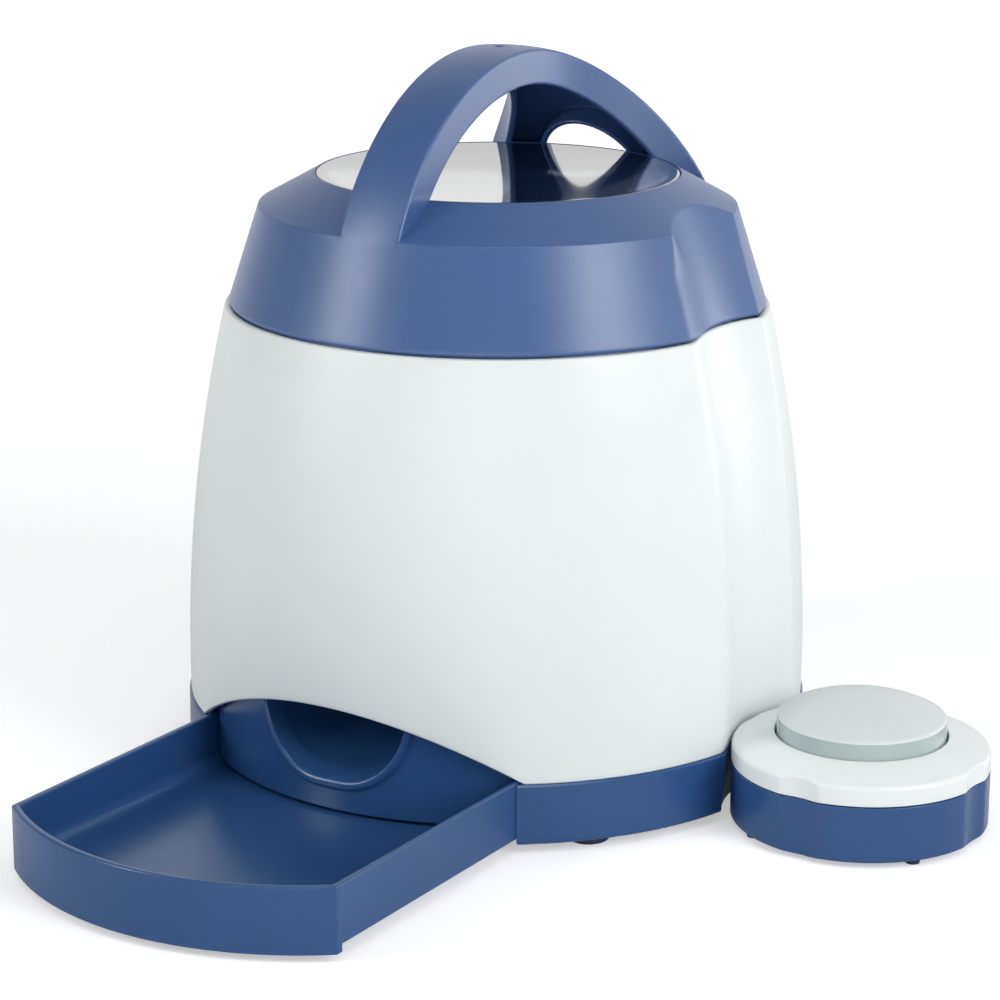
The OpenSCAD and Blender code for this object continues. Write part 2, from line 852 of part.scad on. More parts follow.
// the inside of the duct when grow is 0, its outside when grow is the wall
module duct_form(grow) {
    length = (bowl_back + mouth_reach) / cos(mouth_tilt);
    translate([0, bowl_y, bowl_z]) rotate([90 + mouth_tilt, 0, 0]) {
        translate([0, 0, -grow]) linear_extrude(height = length + grow) mouth_plan(grow);
        sphere(r = mouth_r + bowl_over + grow);
    }
    translate([0, -outlet_place_r, bowl_z])
        cylinder(r = outlet_r + grow, h = hopper_z - bowl_z + (grow > 0 ? 0 : over));
}

module chute_duct() {
    color(deep_blue) intersection() {
        difference() {
            duct_form(duct_wall);
            duct_form(0);
        }
        translate([0, 0, chute_low_z]) cylinder(r = chute_in_r - seat_gap, h = hopper_z);
    }
}

module food_hopper() {
    flange_r = shell_r_at(ledge_z) - shell_wall - 0.6;
    flange_h = 2.2;
    color(milk) difference() {
        union() {
            translate([0, 0, hopper_z]) cylinder(r = hopper_r + hopper_wall, h = ledge_z - hopper_z + flange_h);
            difference() {
                translate([0, 0, ledge_z]) cylinder(r = flange_r, h = flange_h);
                scoops(shell_wall + 0.5);
            }
        }
        translate([0, 0, hopper_z + hopper_floor]) cylinder(r = hopper_r, h = shell_h);
        translate([0, -outlet_place_r, hopper_z - over]) cylinder(r = outlet_r, h = hopper_floor + 2 * over);
        translate([0, 0, hopper_z - over]) cylinder(r = shaft_r + run_gap, h = hopper_floor + 2 * over);
    }
}

// keeps the stack of food off the pocket that stands over the outlet
module portion_guard() {
    color(milk) difference() {
        translate([0, 0, guard_z]) rotate([0, 0, -90 - guard_half_angle])
            rotate_extrude(angle = 2 * guard_half_angle)
                translate([hub_r + 2, 0]) square([hopper_r - seat_gap - hub_r - 2, guard_t]);
        translate([0, 0, guard_z - over]) cylinder(r = hub_r + 3, h = guard_t + 2 * over);
    }
}

module dosing_wheel() {
    color(pale) difference() {
        union() {
            rotate_extrude() polygon([[0, wheel_z], [hub_r, wheel_z], [hub_r, wheel_top],
                [shaft_r + 4, wheel_top + cone_h], [0, wheel_top + cone_h]]);
            intersection() {
                for (k = [0:paddle_n - 1]) rotate([0, 0, (k + 0.5) * 360 / paddle_n - 90])
                    box([hub_r - paddle_t, -paddle_t / 2, wheel_z + paddle_lift],
                        [wheel_r + over, paddle_t / 2, wheel_top - paddle_lift]);
                translate([0, 0, wheel_z - over]) cylinder(r = wheel_r, h = wheel_h + 2 * over);
            }
        }
        translate([0, 0, wheel_z - over]) cylinder(r = shaft_r + run_gap, h = wheel_h + over + cone_h / 2);
    }
}

module drive_shaft() {
    low = bracket_z + 0.5;
    color(steel) translate([0, 0, low]) cylinder(r = shaft_r, h = wheel_top + cone_h / 2 - 1 - low);
}

// spur gear outline with involute flanks, tooth 0 on the +X axis
pressure = 20;
function involute_deg(r, base) = let(t = sqrt(pow(r / base, 2) - 1)) t * 180 / PI - atan(t);
function half_tooth(r, pitch_r, base, teeth) = 90 / teeth - backlash / (4 * pitch_r) * 180 / PI
    + involute_deg(pitch_r, base) - involute_deg(max(r, base), base);
function polar(r, a) = [r * cos(a), r * sin(a)];
function gear_points(teeth) = let(
        pitch_r = gear_module * teeth / 2,
        base = pitch_r * cos(pressure),
        root = pitch_r - 1.25 * gear_module,
        tip = pitch_r + 0.9 * gear_module,
        start = max(root + 0.2, base),
        steps = 4,
        radii = concat([root], [for (k = [0:steps]) start + (tip - start) * k / steps]))
    [for (t = [0:teeth - 1]) each concat(
        [for (r = radii) polar(r, t * 360 / teeth - half_tooth(r, pitch_r, base, teeth))],
        [for (k = [len(radii) - 1:-1:0])
            polar(radii[k], t * 360 / teeth + half_tooth(radii[k], pitch_r, base, teeth))])];

module drive_gear() {
    boss = shaft_r + 3;
    color(milk) difference() {
        union() {
            translate([0, 0, gear_z]) linear_extrude(height = gear_w) polygon(gear_points(gear_teeth));
            translate([0, 0, bracket_z + bracket_t + joint_gap])
                cylinder(r = boss, h = hopper_z - bracket_z - bracket_t - 2 * joint_gap);
        }
        translate([0, 0, bracket_z]) cylinder(r = shaft_r + run_gap, h = hopper_z - bracket_z);
        for (k = [0:5]) rotate([0, 0, 60 * k]) translate([gear_r * 0.6, 0, gear_z - over])
            cylinder(r = gear_r * 0.16, h = gear_w + 2 * over);
    }
}

module motor_bracket() {
    places = [[pillar_x, 0], [-pillar_x, 0], [pillar_x * 0.8, pillar_y], [-pillar_x * 0.8, pillar_y]];
    color(steel) difference() {
        union() {
            box([-bracket_half, bracket_front, bracket_z],
                [bracket_half, pillar_y + pillar_r + 2, bracket_z + bracket_t]);
            for (p = places) translate([p[0], p[1], bracket_z])
                cylinder(r = pillar_r, h = hopper_z - bracket_z);
        }
        translate([0, 0, bracket_z - over]) cylinder(r = shaft_r + run_gap, h = bracket_t + 2 * over);
        translate([0, gear_axis_y, bracket_z - over])
            cylinder(r = motor_boss_r + seat_gap, h = bracket_t + 2 * over);
    }
}

module drive_motor() {
    color(steel) translate([0, gear_axis_y, bracket_z - motor_h]) {
        cylinder(r = motor_r, h = motor_h);
        cylinder(r = motor_boss_r, h = motor_h + motor_boss_h);
        translate([0, 0, -4]) cylinder(r = motor_r * 0.4, h = 5);
    }
}

module motor_pinion() {
    shaft_low = bracket_z + motor_boss_h + joint_gap;
    color(milk) translate([0, gear_axis_y, 0]) {
        translate([0, 0, gear_z]) rotate([0, 0, 180 / pinion_teeth - 90]) linear_extrude(height = gear_w)
            polygon(gear_points(pinion_teeth));
        translate([0, 0, shaft_low]) cylinder(r = motor_shaft_r, h = gear_z + gear_w + 2 - shaft_low);
    }
}

module control_board() {
    color(board_green) difference() {
        box([-board_w / 2, cell_bay_y - board_l / 2, board_z],
            [board_w / 2, cell_bay_y + board_l / 2, board_z + board_t]);
        both_sides() for (s = [-1, 1])
            translate([board_w / 2 - 6, cell_bay_y + s * (board_l / 2 - 5), board_z - over])
                cylinder(r = screw_r, h = board_t + 2 * over);
    }
}

module sounder() {
    color(dark) translate([board_w / 4, cell_bay_y, board_z + board_t]) difference() {
        cylinder(r = 6, h = 8);
        translate([0, 0, 7]) cylinder(r = 1, h = 2);
    }
}

// centres of the four dispenser cells
function cell_rows() = [for (s = [-1, 1]) cell_bay_y + s * cell_pitch / 2];

module battery_cells() {
    nub = 1.2;
    color([0.2, 0.2, 0.22]) for (s = [-1, 1]) for (y = cell_rows())
        translate([s * cell_start_x, y, cell_z]) rotate([0, s * 90, 0]) {
            cylinder(r = cell_r, h = cell_l - nub);
            cylinder(r = cell_r * 0.38, h = cell_l);
        }
}

module battery_contacts() {
    plate = cell_r * 0.75;
    reach = cell_bay_half_x - contact_t - seat_gap;
    color(steel) both_sides() for (y = cell_rows()) {
        box([reach, y - plate, cell_z - plate], [reach + contact_t, y + plate, cell_z + plate]);
        translate([cell_start_x + cell_l + seat_gap, y, cell_z]) rotate([0, 90, 0])
            cylinder(r1 = 2, r2 = plate * 0.8, h = reach - cell_start_x - cell_l);
    }
}

module battery_cover() {
    color(deep_blue) difference() {
        cover_plate(cover_lap - slide_gap, 0);
        translate([0, cell_bay_y, foot_h - over]) cylinder(r = screw_r, h = cover_t + 2 * over);
        translate([0, cell_bay_y, foot_h - over]) cylinder(r = head_r - 0.6, h = over + 1);
    }
}

module battery_cover_screw() {
    color(steel) translate([0, cell_bay_y, foot_h]) screw(screw_r - 0.5, head_r - 0.8, 1, 9);
}

module switch_body() {
    low = foot_h + base_floor;
    color(dark) difference() {
        translate([switch_x, switch_y + switch_travel / 2, low]) box([-switch_w / 2, -switch_l / 2, 0],
            [switch_w / 2, switch_l / 2, switch_h]);
        knob_way(low - over, low + 2.5);
    }
}

// the slot that the switch's knob slides in
module knob_way(low, high) {
    half_w = knob_w / 2 + knob_gap;
    half_l = knob_l / 2 + knob_gap;
    box([switch_x - half_w, switch_y - half_l, low],
        [switch_x + half_w, switch_y + half_l + switch_travel, high]);
}

module switch_knob() {
    proud = 1.6;
    depth = 2.2;
    color(dark) box([switch_x - knob_w / 2, switch_y - knob_l / 2, foot_h - proud],
        [switch_x + knob_w / 2, switch_y + knob_l / 2, foot_h + base_floor + depth]);
}

// everything of the button unit is drawn about its own axis and stood in the scoop
module at_button() {
    translate([button_x, button_y, 0]) rotate([0, 0, button_turn]) children();
}

// a solid of the button with its four scooped grips
module gripped(inset) {
    difference() {
        children();
        round_z([0, 90, 180, 270], button_r - grip_depth + grip_r)
            translate([0, 0, -over]) cylinder(r = grip_r + inset, h = cap_top_z);
    }
}

// bay of the button's cells, in plan
module small_bay(grow, low, high) {
    box([-small_bay_half_x - grow, -small_bay_half_y - grow, low],
        [small_bay_half_x + grow, small_bay_half_y + grow, high]);
}

// place of the screw that holds the button's cell cover
module at_small_tab() {
    translate([0, small_bay_half_y + 3.6, button_foot_h]) children();
}

module button_cup() {
    edge_round = 1.5;
    color(deep_blue) at_button() difference() {
        union() {
            difference() {
                gripped(0) translate([0, 0, button_foot_h]) rotate_extrude() {
                    square([button_r - edge_round, cup_h]);
                    translate([0, edge_round]) square([button_r, cup_h - edge_round]);
                    translate([button_r - edge_round, edge_round]) circle(r = edge_round);
                }
                gripped(button_wall) translate([0, 0, button_foot_h + button_wall])
                    cylinder(r = button_r - button_wall, h = cup_h);
            }
            small_bay(2.6, button_foot_h, button_board_z);
            at_polar(button_screw_angles, button_screw_place_r) translate([0, 0, button_foot_h])
                cylinder(r = button_stud_r + 0.8, h = button_wall + button_boss_h);
            at_small_tab() cylinder(r = small_tab_r + 1.6, h = small_tab_h);
        }
        at_small_tab() translate([0, 0, -over]) {
            cylinder(r = small_tab_r + slide_gap, h = over + small_cover_t);
            cylinder(r = small_screw_r + seat_gap, h = over + small_tab_h - 1);
        }
        small_bay(0, button_foot_h - over, small_bay_top);
        small_bay(small_lap, button_foot_h - over, button_foot_h + small_cover_t);
        at_polar(button_screw_angles, button_screw_place_r) {
            translate([0, 0, button_foot_h - over]) cylinder(r = head_r - 0.5, h = over + button_boss_h);
            translate([0, 0, button_foot_h]) cylinder(r = screw_r, h = button_wall + button_boss_h + over);
        }
    }
}

module button_feet() {
    color(dark) at_button() at_polar(button_foot_angles, button_foot_place_r)
        cylinder(r = button_foot_r, h = button_foot_h);
}

module button_ring() {
    foot = [button_r, ring_z];
    edge = [button_r, ring_edge_z];
    hole = [ring_hole_r, ring_top_z];
    centre = inset_corner(foot, edge, hole, ring_round);
    inner = inset_corner(foot, edge, hole, button_wall);
    slope = inward(edge, hole);
    under_z = inner[1] - (ring_hole_r - inner[0]) * slope[0] / slope[1];
    stud_low = button_foot_h + button_wall + button_boss_h;
    color(milk) at_button() difference() {
        union() {
            difference() {
                gripped(0) rotate_extrude() {
                    polygon([[0, ring_z], foot, centre + [ring_round, 0], centre - ring_round * slope, hole,
                        [0, ring_top_z]]);
                    translate(centre) circle(r = ring_round);
                }
                gripped(button_wall) rotate_extrude() polygon([[0, ring_z - over], [inner[0], ring_z - over],
                    inner, [ring_hole_r, under_z], [0, under_z]]);
            }
            difference() {
                at_polar(button_screw_angles, button_screw_place_r) translate([0, 0, stud_low])
                    cylinder(r = button_stud_r, h = ring_edge_z - stud_low + 0.5);
                translate([0, 0, ring_edge_z]) cylinder(r = cap_flange_r + 0.5, h = over);
            }
        }
        translate([0, 0, ring_z]) cylinder(r = ring_hole_r, h = ring_top_z);
        at_polar(button_screw_angles, button_screw_place_r) translate([0, 0, stud_low - over])
            cylinder(r = screw_r - 0.2, h = 9);
    }
}

module button_screws() {
    color(steel) at_button() at_polar(button_screw_angles, button_screw_place_r)
        translate([0, 0, button_foot_h + button_boss_h - button_head_h])
            screw(screw_r - 0.3, head_r - 0.8, button_head_h, button_screw_l);
}

module button_board() {
    color(board_green) at_button() translate([0, 0, button_board_z]) cylinder(r = button_board_r, h = board_t);
}

module push_switch() {
    z = button_board_z + board_t;
    color(dark) at_button() {
        box([-push_body / 2, -push_body / 2, z], [push_body / 2, push_body / 2, z + push_body_h]);
        translate([0, 0, z]) cylinder(r = push_stem_r, h = push_body_h + push_stem_h);
    }
}

module status_led() {
    r = 1.5;
    color([0.9, 0.95, 0.9]) at_button() translate([16, 0, button_board_z + board_t]) {
        cylinder(r = r, h = 1.5);
        translate([0, 0, 1.5]) sphere(r = r);
    }
}

// coil spring as one tube swept along a helix
module return_spring() {
    rings_per_turn = 12;
    sides = 6;
    low = button_board_z + board_t + spring_wire_r + seat_gap;
    rise = carrier_z - spring_wire_r - seat_gap - low;
    count = rings_per_turn * spring_turns;
    points = [for (k = [0:count], s = [0:sides - 1]) let(a = 360 * k / rings_per_turn, b = 360 * s / sides,
        r = spring_r + spring_wire_r * cos(b))
        [r * cos(a), r * sin(a), low + rise * k / count + spring_wire_r * sin(b)]];
    sheath = [for (k = [0:count - 1], s = [0:sides - 1]) let(t = (s + 1) % sides, p = k * sides)
        each [[p + s, p + t, p + sides + t], [p + s, p + sides + t, p + sides + s]]];
    last = count * sides;
    caps = [for (s = [1:sides - 2]) each [[0, s + 1, s], [last, last + s, last + s + 1]]];
    color(steel) at_button() polyhedron(points, concat(sheath, caps));
}

module cap_carrier() {
    color(milk) at_button() {
        translate([0, 0, carrier_z]) cylinder(r = cap_r - cap_wall - seat_gap, h = carrier_t);
        translate([0, 0, plunger_low_z]) cylinder(r = plunger_r, h = carrier_z - plunger_low_z + over);
    }
}

module dome_cap() {
    color([0.8, 0.86, 0.86, 0.6]) at_button() difference() {
        rotate_extrude() intersection() {
            union() {
                translate([0, cap_low_z]) square([cap_r, cap_top_z]);
                translate([0, cap_low_z]) square([cap_flange_r, cap_flange_t]);
            }
            union() {
                translate([0, cap_top_z - cap_sphere_r]) circle(r = cap_sphere_r);
                translate([0, cap_low_z]) square([2 * cap_r, 2 * cap_flange_t]);
            }
        }
        rotate_extrude() intersection() {
            translate([0, cap_low_z - over]) square([cap_r - cap_wall, cap_top_z]);
            translate([0, cap_top_z - cap_sphere_r]) circle(r = cap_sphere_r - cap_wall);
        }
    }
}

module button_cells() {
    nub = 0.8;
    color([0.2, 0.2, 0.22]) at_button() for (k = [-1:1]) rotate([0, 0, k == 0 ? 180 : 0])
        translate([k * small_pitch, -small_cell_l / 2, small_cell_z]) rotate([-90, 0, 0]) {
            cylinder(r = small_cell_r, h = small_cell_l - nub);
            cylinder(r = small_cell_r * 0.36, h = small_cell_l);
        }
}

module button_contacts() {
    plate = small_cell_r * 0.75;
    color(steel) at_button() for (k = [-1:1]) for (s = [-1, 1]) {
        y = s * (small_bay_half_y - contact_t / 2 - seat_gap);
        box([k * small_pitch - plate, y - contact_t / 2, small_cell_z - plate],
            [k * small_pitch + plate, y + contact_t / 2, small_cell_z + plate]);
    }
}

module button_cover() {
    color(deep_blue) at_button() difference() {
        union() {
            small_bay(small_lap - slide_gap, button_foot_h, button_foot_h + small_cover_t);
            at_small_tab() cylinder(r = small_tab_r, h = small_cover_t);
        }
        at_small_tab() translate([0, 0, -over]) {
            cylinder(r = small_screw_r + seat_gap, h = small_cover_t + 2 * over);
            cylinder(r = small_head_r + slide_gap, h = over + small_head_h);
        }
    }
}

module button_cover_screw() {
    color(steel) at_button() at_small_tab() screw(small_screw_r, small_head_r, small_head_h, 6);
}

base_pan();
bay_roof();
rubber_feet();
body_shell();
base_screws();
lid();
window_pane();
tray();
chute_wall();
chute_duct();
food_hopper();
portion_guard();
dosing_wheel();
drive_shaft();
drive_gear();
motor_bracket();
drive_motor();
motor_pinion();
control_board();
sounder();
battery_cells();
battery_contacts();
battery_cover();
battery_cover_screw();
switch_body();
switch_knob();
button_cup();
button_feet();
button_ring();
button_screws();
button_board();
push_switch();
status_led();
return_spring();
cap_carrier();
dome_cap();
button_cells();
button_contacts();
button_cover();
button_cover_screw();
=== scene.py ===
import json
import math

import bpy
import numpy as np
from mathutils import Matrix, Vector


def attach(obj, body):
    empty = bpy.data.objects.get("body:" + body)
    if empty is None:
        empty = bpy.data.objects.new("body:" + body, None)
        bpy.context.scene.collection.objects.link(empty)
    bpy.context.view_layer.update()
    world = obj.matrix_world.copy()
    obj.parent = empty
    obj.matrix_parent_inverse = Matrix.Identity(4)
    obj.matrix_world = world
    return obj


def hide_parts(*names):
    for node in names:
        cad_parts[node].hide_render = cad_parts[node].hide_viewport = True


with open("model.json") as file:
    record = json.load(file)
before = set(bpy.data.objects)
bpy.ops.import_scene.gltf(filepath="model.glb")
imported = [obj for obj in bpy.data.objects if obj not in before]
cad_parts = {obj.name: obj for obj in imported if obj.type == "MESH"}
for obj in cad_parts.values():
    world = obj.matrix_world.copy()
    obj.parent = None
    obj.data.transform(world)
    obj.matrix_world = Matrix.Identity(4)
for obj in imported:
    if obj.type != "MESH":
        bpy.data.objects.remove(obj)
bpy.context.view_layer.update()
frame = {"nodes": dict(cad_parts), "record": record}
nodes = frame["nodes"]

# sizes of the solids, in millimetres
BASE_TOP = 23.9
SHELL_TOP, SHELL_WALL, SHELL_EDGE = 161.7, 2.5, 0.7
BELLY_R, BELLY_Z, BELLY_CURVE = 108.4, 36.2, 553.0
SCOOP_X, SCOOP_ROUND, SCOOP_CURVE, SCOOP_Z = -317.1, 55.0, 418.0, 49.3
ARCH_CROWN, ARCH_R, ARCH_EDGE_R, ARCH_HALF = 44.8, 110.94, 108.27, 64.81
LID_Z, LID_R, LID_WALL = 162.0, 92.90, 2.5
SHOULDER_R, SHOULDER_Z = 82.10, 195.9
WINDOW_R, WINDOW_Z, WINDOW_SEAT, WINDOW_LEDGE = 62.40, 206.8, 2.0, 4.0
HANDLE_R, HANDLE_Z, HANDLE_SKIN = 90.11, 159.09, 2.5
GRASP_R, GRASP_Z = 80.48, 156.72
HANDLE_HALF, HANDLE_SIDE, FLARE_R, FLARE_Y = 11.5, 2.2, 66.7, 9.7
HOLE_R, HOLE_Z, HOLE_Y, HOLE_START, HOLE_SPREAD = 15.48, 201.12, 58.4, 34.4, 0.5
RIB_PITCH, RIB_HALF, RIB_FIRST, RIB_LAST = 9, 0.9, -6, 3
SPIGOT_IN, SPIGOT_WALL, SPIGOT_TOP, SPIGOT_DEEP, SPIGOT_SPAN = 3.0, 2.0, 1.2, 4.5, 66
TRAY_HALF, TRAY_R, TRAY_ARC_Y, TRAY_REAR_Y, TRAY_STEP_Y = 62.8, 100.0, -112.6, -62.0, -187.9
TRAY_Z, TRAY_TOP, TRAY_DROP = 5.0, 24.6, 2.4
TRAY_WALL, TRAY_FLOOR, TRAY_FILLET = 2.5, 7.0, 4.0
CHUTE_R, CHUTE_HALF, CHUTE_LOW, CHUTE_TOP, CHUTE_WALL, CHUTE_BEND = 104.0, 59.5, 8.0, 71.8, 2.2, 3.5
MOUTH_R, MOUTH_FLAT, MOUTH_Z, MOUTH_TILT = 22.8, 10.0, 43.0, math.radians(18)
BUTTON, BUTTON_R, BUTTON_TURN = (144.14, -1.6), 43.0, math.radians(-2.5)
GRIP_DEPTH, GRIP_HALF = 1.7, 8.3
CUP_LOW, CUP_FLOOR, CUP_TOP, CUP_IN_R, CUP_ROUND = 1.8, 4.0, 21.0, 40.8, 1.5
RING_LOW, RING_EDGE, RING_TOP, RING_HOLE_R, RING_ROUND = 21.3, 27.9, 32.0, 28.8, 1.9
CAP_LOW, CAP_FLANGE_R, CAP_FLANGE_TOP = 27.06, 31.0, 28.46
CAP_EDGE, CAP_RISE, CAP_CROWN_R, CAP_BOW = 38.3, 5.7, 27.3, 2.6

# what the scene adds to them, in millimetres
LID_TURN = math.radians(1.1)
LID_FOOT_ROUND, SHOULDER_ROUND = 1.2, 0.9
GATE, GATE_R = (0.0, 0.0, 251.4), 3.0
PANE_GAP, PANE_SAG = 0.15, 1.5

# radius of a lathe's first points, so that they don't meet on its axis
AXIS = 0.001


# forms

def smooth_min(a, b, k):
    h = np.clip(k - np.abs(a - b), 0, None) / k
    return np.minimum(a, b) - h * h * k / 4


def smooth_max(a, b, k):
    return -smooth_min(-a, -b, k)


def arc(centre, radius, start, end, count):
    """Points of an arc in a profile, angles in degrees."""
    turn = np.radians(np.linspace(start, end, count))
    return [(centre[0] + radius * math.cos(t), centre[1] + radius * math.sin(t)) for t in turn]


def between(a, b, shares):
    """Points on the line from a to b."""
    a, b = np.array(a), np.array(b)
    return [tuple(a + (b - a) * t) for t in shares]


def rounded_corner(before, corner, after, radius, count):
    """Arc that rounds a left-hand corner of a profile, on its way from one point to the next."""
    before, corner, after = np.array(before), np.array(corner), np.array(after)
    up = (corner - before) / np.hypot(*(corner - before))
    back = (after - corner) / np.hypot(*(after - corner))
    half = math.acos(np.dot(-up, back)) / 2
    reach = radius / math.tan(half)
    start, stop = corner - up * reach, corner + back * reach
    centre = start + np.array([-up[1], up[0]]) * radius
    first = math.degrees(math.atan2(*(start - centre)[::-1]))
    last = math.degrees(math.atan2(*(stop - centre)[::-1]))
    return arc(centre, radius, first, last, count)


def loft_faces(rows, columns, ring=False):
    """Quads between the rows of a grid whose columns close round; ring joins the last row to the first."""
    i = np.arange(rows if ring else rows - 1)[:, None]
    j = np.arange(columns)[None, :]
    k = (j + 1) % columns
    up = (i + 1) % rows
    quads = np.stack([i * columns + j, i * columns + k, up * columns + k, up * columns + j], -1)
    return quads.reshape(-1, 4).tolist()


def piece(name, points, faces, body, material, stands_for=(), normals=None):
    """A mesh from points in millimetres that rides on a body."""
    mesh = bpy.data.meshes.new(name)
    mesh.from_pydata((np.asarray(points, float).reshape(-1, 3) * 0.001).tolist(), [], faces)
    mesh.validate()
    mesh.polygons.foreach_set("use_smooth", np.ones(len(mesh.polygons), bool))
    if normals is not None:
        mesh.normals_split_custom_set_from_vertices(normals.tolist())
    mesh.update()
    made = bpy.data.objects.new(name, mesh)
    bpy.context.scene.collection.objects.link(made)
    for m in material if isinstance(material, list) else [material]:
        mesh.materials.append(m)
    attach(made, body)
    if stands_for:
        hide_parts(*stands_for)
    return made


def weighted(made):
    """Flat faces keep their own normal beside rounded edges."""
    made.modifiers.new("even shading", "WEIGHTED_NORMAL").weight = 80
    return made


def lathe(profile, count=160, centre=(0.0, 0.0), squeeze=None):
    """Grid of a (radius, height) profile turned about an upright axis; squeeze changes the radius by angle."""
    turn = np.linspace(0, 2 * math.pi, count, endpoint=False)
    p = np.asarray(profile, float)
    r = np.repeat(p[:, :1], count, 1)
    z = np.repeat(p[:, 1:], count, 1)
    if squeeze is not None:
        r = squeeze(r, turn[None, :])
    return np.stack([centre[0] + r * np.cos(turn), centre[1] + r * np.sin(turn), z], -1)


# materials

def linear(colour):
    """A colour as seen on a screen, as linear light."""
    return [c / 12.92 if c <= 0.04045 else ((c + 0.055) / 1.055) ** 2.4 for c in colour]


def shade(colour, amount):
    return [min(1.0, c * amount) for c in linear(colour)] + [1.0]


def material(name, colour, roughness, grain=0.0, grain_size=0.0004, tone=0.03, metal=0.0, coat=0.0,
             specular=0.5, alpha=1.0, wave=0.0, through=0.0):
    """Moulded plastic, rubber or metal: drifting tone, uneven gloss and a fine moulded grain.

    grain and wave are strengths of bumps, tone is a share of the colour, and through is how clear it is.
    """
    made = bpy.data.materials.new(name)
    made.use_nodes = True
    tree = made.node_tree
    shader = tree.nodes["Principled BSDF"]
    shader.inputs["Metallic"].default_value = metal
    shader.inputs["Coat Weight"].default_value = coat
    shader.inputs["Coat Roughness"].default_value = 0.06
    shader.inputs["Specular IOR Level"].default_value = specular
    shader.inputs["Alpha"].default_value = alpha
    shader.inputs["Transmission Weight"].default_value = through
    place = tree.nodes.new("ShaderNodeTexCoord")
    drift = tree.nodes.new("ShaderNodeTexNoise")
    drift.inputs["Scale"].default_value = 28.0
    drift.inputs["Detail"].default_value = 3.0
    tree.links.new(place.outputs["Object"], drift.inputs["Vector"])
    ramp = tree.nodes.new("ShaderNodeValToRGB")
    ramp.color_ramp.elements[0].position = 0.3
    ramp.color_ramp.elements[1].position = 0.7
    ramp.color_ramp.elements[0].color = shade(colour, 1 - tone)
    ramp.color_ramp.elements[1].color = shade(colour, 1 + tone)
    tree.links.new(drift.outputs["Fac"], ramp.inputs["Fac"])
    tree.links.new(ramp.outputs["Color"], shader.inputs["Base Color"])
    gloss = tree.nodes.new("ShaderNodeMapRange")
    gloss.inputs["To Min"].default_value = roughness * 0.88
    gloss.inputs["To Max"].default_value = roughness * 1.12
    fine = tree.nodes.new("ShaderNodeTexNoise")
    fine.inputs["Scale"].default_value = 1 / grain_size
    fine.inputs["Detail"].default_value = 2.0
    tree.links.new(place.outputs["Object"], fine.inputs["Vector"])
    tree.links.new(drift.outputs["Fac"], gloss.inputs["Value"])
    tree.links.new(gloss.outputs["Result"], shader.inputs["Roughness"])
    bump = tree.nodes.new("ShaderNodeBump")
    bump.inputs["Strength"].default_value = grain
    bump.inputs["Distance"].default_value = 0.0002
    tree.links.new(fine.outputs["Fac"], bump.inputs["Height"])
    last = bump
    if wave:
        swell = tree.nodes.new("ShaderNodeBump")
        swell.inputs["Strength"].default_value = wave
        swell.inputs["Distance"].default_value = 0.002
        tree.links.new(drift.outputs["Fac"], swell.inputs["Height"])
        tree.links.new(bump.outputs["Normal"], swell.inputs["Normal"])
        last = swell
    tree.links.new(last.outputs["Normal"], shader.inputs["Normal"])
    return made


finish = {
    "lid_blue": material("lid_blue", (0.215, 0.34, 0.555), 0.37, grain=0.22, grain_size=0.00045, tone=0.03,
                         specular=0.9),
    "deep_blue": material("deep_blue", (0.165, 0.31, 0.515), 0.24, grain=0.05, grain_size=0.0006, tone=0.04,
                          wave=0.02),
    "shell_white": material("shell_white", (0.895, 0.92, 0.915), 0.38, grain=0.06, grain_size=0.0005,
                            tone=0.012),
    "ring_white": material("ring_white", (0.925, 0.945, 0.945), 0.3, grain=0.05, grain_size=0.0005,
                           tone=0.012),
    "inner_white": material("inner_white", (0.92, 0.93, 0.935), 0.4, grain=0.06, tone=0.015),
    "rubber": material("rubber", (0.13, 0.19, 0.30), 0.6, grain=0.3, grain_size=0.0003, tone=0.06),
    "steel": material("steel", (0.72, 0.73, 0.75), 0.28, grain=0.08, tone=0.05, metal=1.0),
    "board_green": material("board_green", (0.10, 0.36, 0.22), 0.35, grain=0.1, tone=0.08),
    "cell_wrap": material("cell_wrap", (0.22, 0.22, 0.24), 0.3, grain=0.05, tone=0.05),
    "black_plastic": material("black_plastic", (0.09, 0.09, 0.10), 0.45, grain=0.2, tone=0.08),
    "clear": material("clear", (0.93, 0.95, 0.96), 0.02, grain=0.01, grain_size=0.002, tone=0.006,
                      specular=0.6, coat=1.0, through=1.0),
    "frosted": material("frosted", (0.87, 0.895, 0.90), 0.4, grain=0.6, grain_size=0.0011, tone=0.03,
                        alpha=0.93),
    "clear_side": material("clear_side", (0.77, 0.84, 0.835), 0.14, grain=0.05, grain_size=0.002, tone=0.1,
                           coat=0.6, alpha=0.72),
}


# the barrel with its two scoops

def barrel(z):
    """Radius of the barrel at a height."""
    return BELLY_R - BELLY_CURVE + np.sqrt(BELLY_CURVE ** 2 - (z - BELLY_Z) ** 2)


def scoop(turn, z):
    """Radius at which a scoop's wall lies in that direction; far out where there is none."""
    side = np.maximum(np.abs(np.cos(turn)), 1e-3)
    r = np.full(np.broadcast(turn, z).shape, 100.0)
    for _ in range(14):
        y = np.clip(r * np.sin(turn), -SCOOP_ROUND, SCOOP_ROUND)
        out = SCOOP_CURVE + SCOOP_ROUND - np.sqrt(SCOOP_ROUND ** 2 - y * y)
        r = (SCOOP_X + np.sqrt(out ** 2 - (z - SCOOP_Z) ** 2)) / side
    return r


def crease(turn, front):
    """How softly a scoop meets the barrel: crisp at its rear edge, and as soft as asked at its front edge."""
    crisp = 0.8
    share = np.clip((-np.sin(turn) - 0.03) / 0.09, 0, 1)
    return crisp + (front - crisp) * share * share * (3 - 2 * share)


